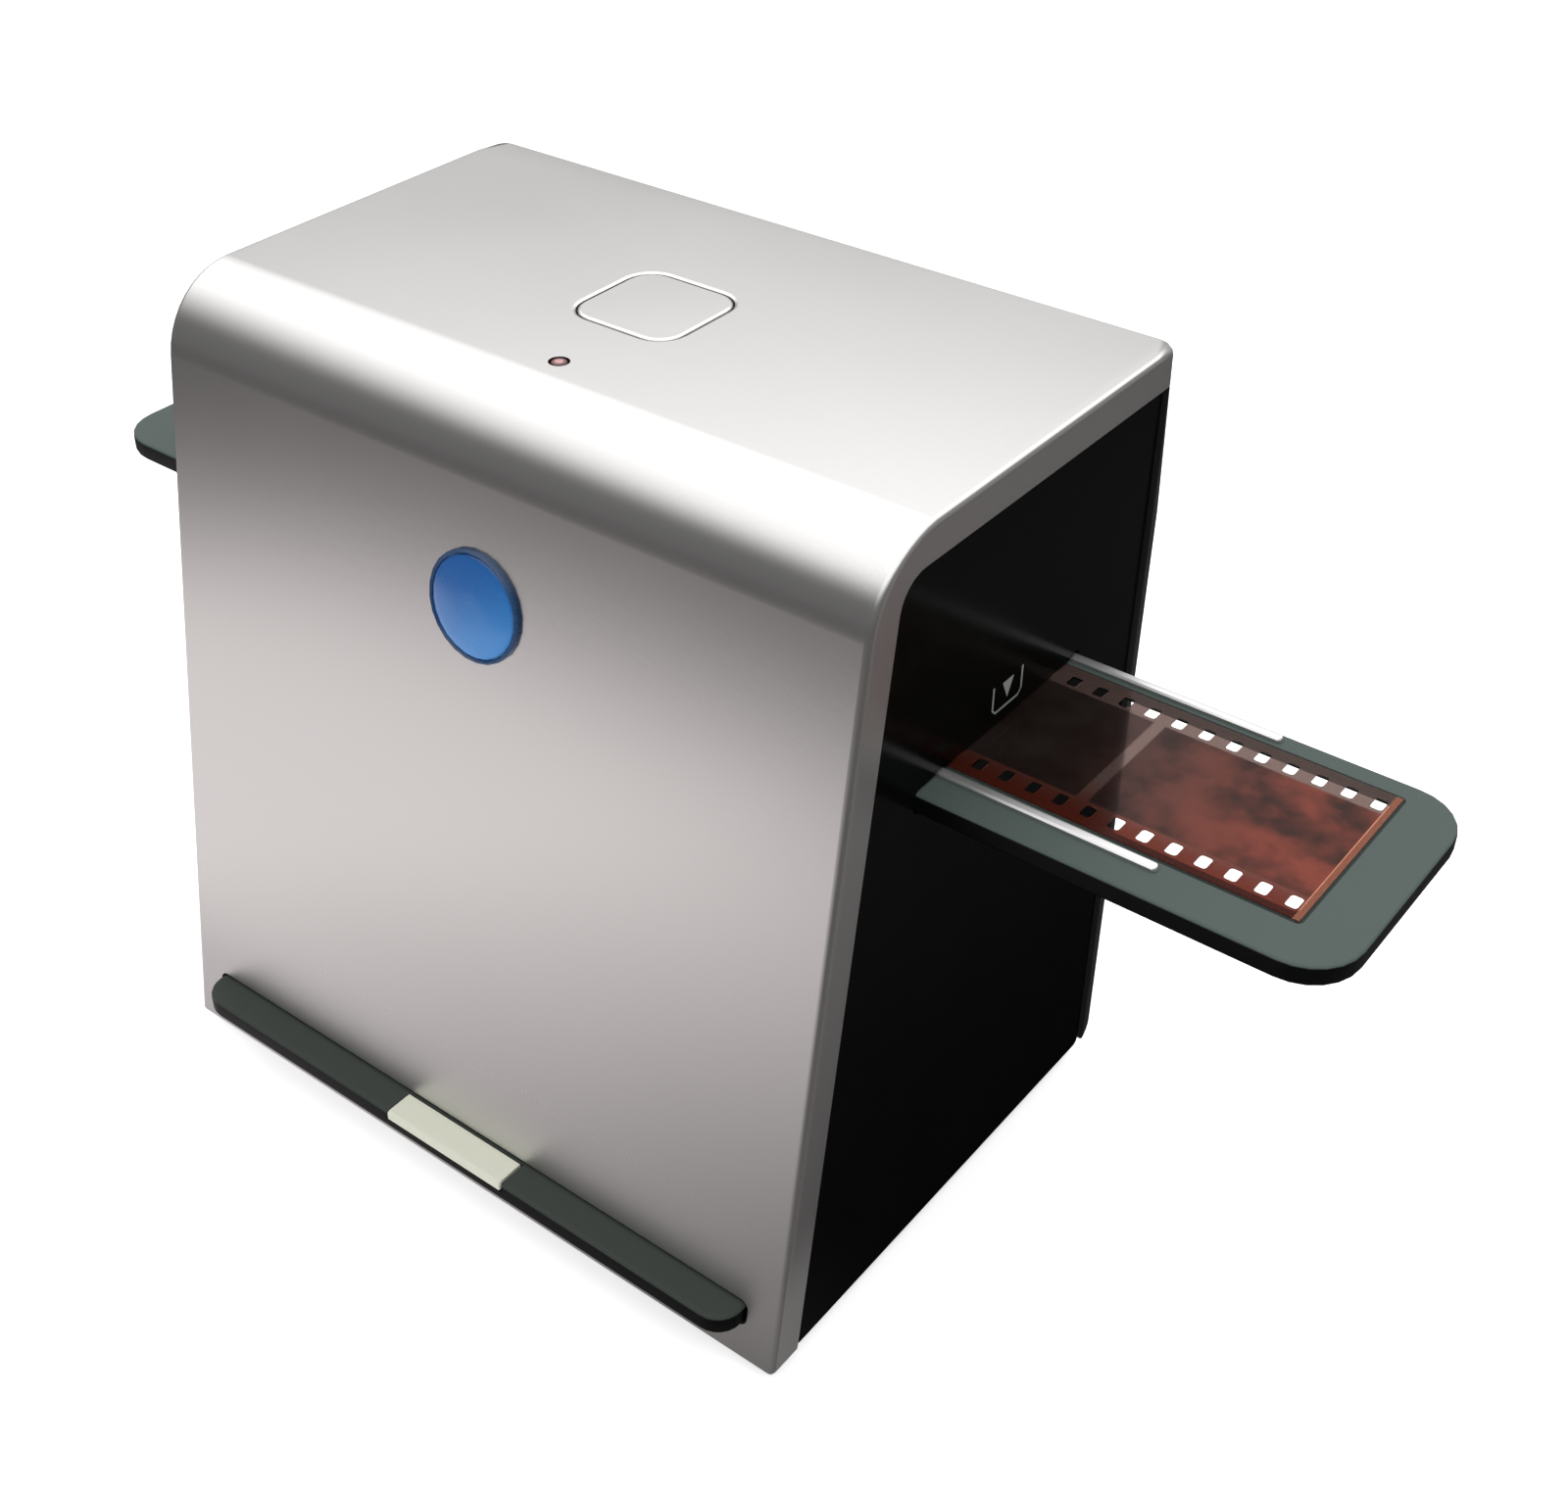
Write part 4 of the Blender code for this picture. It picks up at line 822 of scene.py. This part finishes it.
# %% A tree for rows, and the shapes in them
def row_tree(name, finish):
    row = Tree(name, {
        "Shape": "NodeSocketObject",
        "Count": "NodeSocketInt",
        "First": "NodeSocketVector",
        "Pitch": "NodeSocketVector",
    })
    points = row.add(
        "GeometryNodeMeshLine",
        {"Count": row.input("Count"), "Start Location": row.input("First"), "Offset": row.input("Pitch")},
    )
    shape = row.add("GeometryNodeObjectInfo", {"Object": row.input("Shape")}).node.outputs["Geometry"]
    row.close(row.add("GeometryNodeInstanceOnPoints", {"Points": points, "Instance": shape}), finish)
    return row


def bar_of(name, outline, width, turn=0.0):
    """A bar with this outline in X and Z, centred on Y and turned about Z."""
    count = len(outline)
    corners = []
    for side in (-0.5, 0.5):
        for x, z in outline:
            y = side * width
            corners.append((x * cos(turn) - y * sin(turn), x * sin(turn) + y * cos(turn), z))
    faces = [tuple(range(count)), tuple(range(2 * count - 1, count - 1, -1))]
    for index in range(count):
        after = (index + 1) % count
        faces.append((index, index + count, after + count, after))
    form = bpy.data.meshes.new(name)
    form.from_pydata(corners, [], faces)
    solid = bmesh.new()
    solid.from_mesh(form)
    bmesh.ops.recalc_face_normals(solid, faces=solid.faces)
    solid.to_mesh(form)
    solid.free()
    return form


def make_row(name, finish, slot, shape, count, first, pitch):
    """A row of one shape on the housing; the shape's own object is only needed while the tree runs."""
    single = link(name + "_shape", shape)
    values = {"Shape": single, "Count": count, "First": first, "Pitch": pitch}
    piece = row_tree(name, finish).grow(name, values)
    bpy.data.objects.remove(single)
    return fasten(piece, finish, slot, "housing")


# %% [markdown]
# Each leg comes out of the side of the chip, bends down and ends in a flat foot on the board. Four rows,
# each a quarter turn on from the last, go round the chip. Points of the outlines below are in millimetres.

# %% Legs of the processor
chip_low, chip_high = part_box("main_chip")
chip_middle = (chip_low + chip_high) / 2
board_top = chip_low.z
legs_on_side = 14
leg_pitch = 0.9 * millimetre
leg_width = 0.38 * millimetre
leg_bends = (
    (-0.1, 0.62), (0.42, 0.62), (0.62, 0.14), (1.15, 0.14),
    (1.15, 0.0), (0.54, 0.0), (0.34, 0.48), (-0.1, 0.48),
)
leg_outline = [(x * millimetre, z * millimetre) for x, z in leg_bends]
for side_index, side_name in enumerate(("right", "back", "left", "front")):
    turn = side_index * pi / 2
    out = Vector((round(cos(turn)), round(sin(turn)), 0))
    along = Vector((-out.y, out.x, 0))
    half = (chip_high.x - chip_low.x) / 2
    first = chip_middle + out * half - along * leg_pitch * (legs_on_side - 1) / 2
    first.z = board_top
    shape = bar_of("leg", leg_outline, leg_width, turn)
    make_row("chip_legs_" + side_name, steel, "bright_steel", shape, legs_on_side, first, along * leg_pitch)
print("legs on each side:", legs_on_side)

# %% Pins of the plug between the boards
header_low, header_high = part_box("board_header")
pin_count = 6
pin_pitch = (header_high.x - header_low.x) / pin_count
pin_width = 0.6 * millimetre
pin_bends = ((-0.3, 0.0), (0.3, 0.0), (0.3, 0.6), (0.15, 0.9), (-0.15, 0.9), (-0.3, 0.6))
pin_outline = [(x * millimetre, z * millimetre) for x, z in pin_bends]
for row_name, share in (("front", 0.27), ("back", 0.73)):
    first = (header_low.x + pin_pitch / 2, header_low.y + share * (header_high.y - header_low.y), board_top)
    shape = bar_of("pin", pin_outline, pin_width)
    make_row("header_pins_" + row_name, steel, "bright_steel", shape, pin_count, first, (pin_pitch, 0.0, 0.0))
print("pins:", 2 * pin_count)

# %% [markdown]
# ## The printed mark over the slot
# A small pale sign on the right side shows where the film goes in. It is printed ink, far thinner than a
# hair, so a sheet of 0.02 mm on the panel stands for it: an open tray and a plain triangle that points into
# it. The outline of the tray is a band of one width, made from its inner and outer corners.

# %% Sign of the film slot
ink_thickness = 0.02 * millimetre


def ink_sheet(form, outline, place, thickness):
    """Adds a thin closed sheet; the outline is in Y and Z, and place is the X of the panel's face."""
    layers = []
    for depth in (0.0, thickness):
        layers.append([form.verts.new((place + depth, y, z)) for y, z in outline])
    form.faces.new(layers[1])
    form.faces.new(layers[0][::-1])
    for index in range(len(outline)):
        after = (index + 1) % len(outline)
        form.faces.new((layers[0][index], layers[0][after], layers[1][after], layers[1][index]))


def slot_sign():
    panel_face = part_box("side_panel_right")[1].x
    middle = film_middle - 1.4 * millimetre
    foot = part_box("film_tray")[1].z + 2.6 * millimetre
    half, height = 4.4 * millimetre, 5.4 * millimetre
    line, cut = 0.45 * millimetre, 1.1 * millimetre
    side = half - line
    outer = [(-half, height), (-half, cut), (cut - half, 0.0), (half - cut, 0.0), (half, cut), (half, height)]
    inner = [
        (side, height), (side, cut), (half - cut, line), (cut - half, line), (-side, cut), (-side, height)
    ]
    arrow_half, arrow_top, arrow_tip = 1.6 * millimetre, 5.0 * millimetre, 1.6 * millimetre
    arrow = [(-arrow_half, arrow_top), (0.0, arrow_tip), (arrow_half, arrow_top)]
    form = bmesh.new()
    for outline in (outer + inner, arrow):
        ink_sheet(form, [(middle + y, foot + z) for y, z in outline], panel_face, ink_thickness)
    bmesh.ops.recalc_face_normals(form, faces=form.faces)
    mesh = bpy.data.meshes.new("slot_sign")
    form.to_mesh(mesh)
    form.free()
    return link("slot_sign", mesh)


ink = grained_plastic("pale_ink", (0.28, 0.31, 0.29), (0.38, 0.41, 0.39), 0.5, 0.25, 0.002)
sign = fasten(slot_sign(), ink, "white_plastic", "housing")
print("the sign has", len(sign.data.polygons), "faces")

# %% [markdown]
# ## Parts that keep their own solids
# The guides, the stage, the boards and the camera are seen through the slots at most. Their solids are
# right, so they stay, and only their finishes are new.

# %% Finishes of the carried-over parts
slot_finishes = {
    "silver_paint": silver,
    "black_gloss": black_gloss,
    "black_matt": black_matt,
    "soft_rubber": rubber,
    "white_plastic": white_plastic,
    "board_green": board_green,
    "chip_black": chip_resin,
    "bright_steel": steel,
    "lens_glass_look": lens_glass,
}
slot_of_node = {entry["node"]: entry["material_slot"] for entry in frame["record"]["subparts"]}
kept_nodes = [node for node, solid in sorted(frame["nodes"].items()) if not solid.hide_render]
for node in kept_nodes:
    solid = frame["nodes"][node]
    solid.data.materials.clear()
    solid.data.materials.append(slot_finishes[slot_of_node[node]].material)
print("solids kept:", len(kept_nodes))

# %% [markdown]
# ## The studio
# A pale floor and a pale room, as for a catalogue picture. Silver paint shows what stands around it, so a
# studio also lays out what is reflected: here a second floor that only reflections see. It has a pool of
# light before the scanner, is dark further off and dim at the sides, which gives the soft dark band under
# the bend of the wrap and keeps the polished sides black.

# %% Floor and what the floor reflects
def flat_square(name, reach, height):
    mesh = bpy.data.meshes.new(name)
    signs = ((-1, -1), (1, -1), (1, 1), (-1, 1))
    mesh.from_pydata([(x * reach, y * reach, height) for x, y in signs], [], [(0, 1, 2, 3)])
    square = link(name, mesh)
    return square


floor_reach = 6.0


def make_floor():
    floor = flat_square("studio_floor", floor_reach, 0.0)
    finish = Finish("studio_paper", emission_color=(1.0, 1.0, 1.0), emission_strength=0.60)
    fibres = finish.noise(3 * millimetre, 3.0)
    finish.feed(base_color=finish.blend(fibres, (0.80, 0.80, 0.80), (0.84, 0.84, 0.84)), roughness=0.9)
    floor.data.materials.append(finish.material)
    floor.visible_glossy = False


def make_reflected_floor():
    """Seen by reflections alone: a pool that brightens to the front left and ends softly."""
    floor = flat_square("reflected_floor", floor_reach, -1 * millimetre)
    for ray in ("camera", "diffuse", "transmission", "shadow", "volume_scatter"):
        setattr(floor, "visible_" + ray, False)
    black, warm_white = (0.0, 0.0, 0.0), (1.0, 0.945, 0.955)
    finish = Finish("reflected_paper", base_color=black, specular_ior_level=0.0, emission_strength=1.0)
    across, along = finish.along(0, 1)
    slant = across + along * 0.606
    glow = (0.14 - slant * 3.60).highest(0.0).lowest(1.02)
    pool = glow * along.eased(-0.37, -0.19) * across.eased(-0.47, -0.19)
    before = 1 - along.eased(-0.06, -0.01)
    beside = abs(across).eased(0.06, 0.17) * (1 - along.eased(0.15, 0.45) * 0.6)
    bright = (pool + 0.13) * before + beside * 0.16 * (1 - before) + 0.012
    finish.feed(emission_color=finish.blend(bright, black, warm_white))
    floor.data.materials.append(finish.material)


def room_light():
    """White overhead, and dimmer low down, most of all in front of the scanner and on its right."""
    world = bpy.data.worlds.new("studio_room")
    world.use_nodes = True
    scene.world = world
    room = NodeSheet(world.node_tree)
    direction = room.node("ShaderNodeSeparateXYZ", {}, {0: room.signal("ShaderNodeTexCoord", "Generated")})
    across, depth, height = (Signal(room, direction.outputs[axis]) for axis in (0, 1, 2))
    in_front = (1 - depth.eased(-0.40, 0.10)).highest(across.eased(0.1, 0.5))
    front_part = 0.17 + 1.35 * height.eased(0.34, 0.80)
    back_part = 0.45 + 1.30 * height.eased(0.30, 0.58)
    strength = back_part * (1 - in_front) + front_part * in_front
    backdrop = room.tree.nodes["Background"].inputs
    room.put(backdrop, "Color", (1.0, 1.0, 1.0))
    room.put(backdrop, "Strength", strength)


make_floor()
make_reflected_floor()
room_light()
print("the studio has", len(bpy.data.materials), "materials with the floor's")

# %% [markdown]
# The camera stands where the photograph was taken from, in front and to the right, looking down on the
# scanner. A vertical line in the photograph isn't centred, so the lens is shifted sideways a little.

# %% Camera
to_the_right = 0.130741
in_front_of_wrap = 0.176423
above_wrap_foot = 0.295413
yaw, pitch, roll = radians(38.557), radians(36.528), radians(-0.344)
focal_length = 47.806
sideways_shift = 0.0381


def photo_camera():
    wrap_low, wrap_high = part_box("shell_wrap")
    place = Vector(
        (wrap_high.x + to_the_right, wrap_low.y - in_front_of_wrap, wrap_low.z + above_wrap_foot)
    )
    forward = Vector((-sin(yaw) * cos(pitch), cos(yaw) * cos(pitch), -sin(pitch)))
    level = Vector((cos(yaw), sin(yaw), 0))
    upright = level.cross(forward)
    right = cos(roll) * level + sin(roll) * upright
    up = -sin(roll) * level + cos(roll) * upright
    data = bpy.data.cameras.new("photo_camera")
    data.lens = focal_length
    data.shift_x = sideways_shift
    data.clip_start, data.clip_end = 0.01, 50
    camera = bpy.data.objects.new("photo_camera", data)
    scene.collection.objects.link(camera)
    turn = Matrix((right, up, -forward)).transposed()
    camera.matrix_world = Matrix.Translation(place) @ turn.to_4x4()
    scene.camera = camera


photo_camera()
scene.view_settings.view_transform = "Standard"
print("the camera looks down on the scanner from its front right")
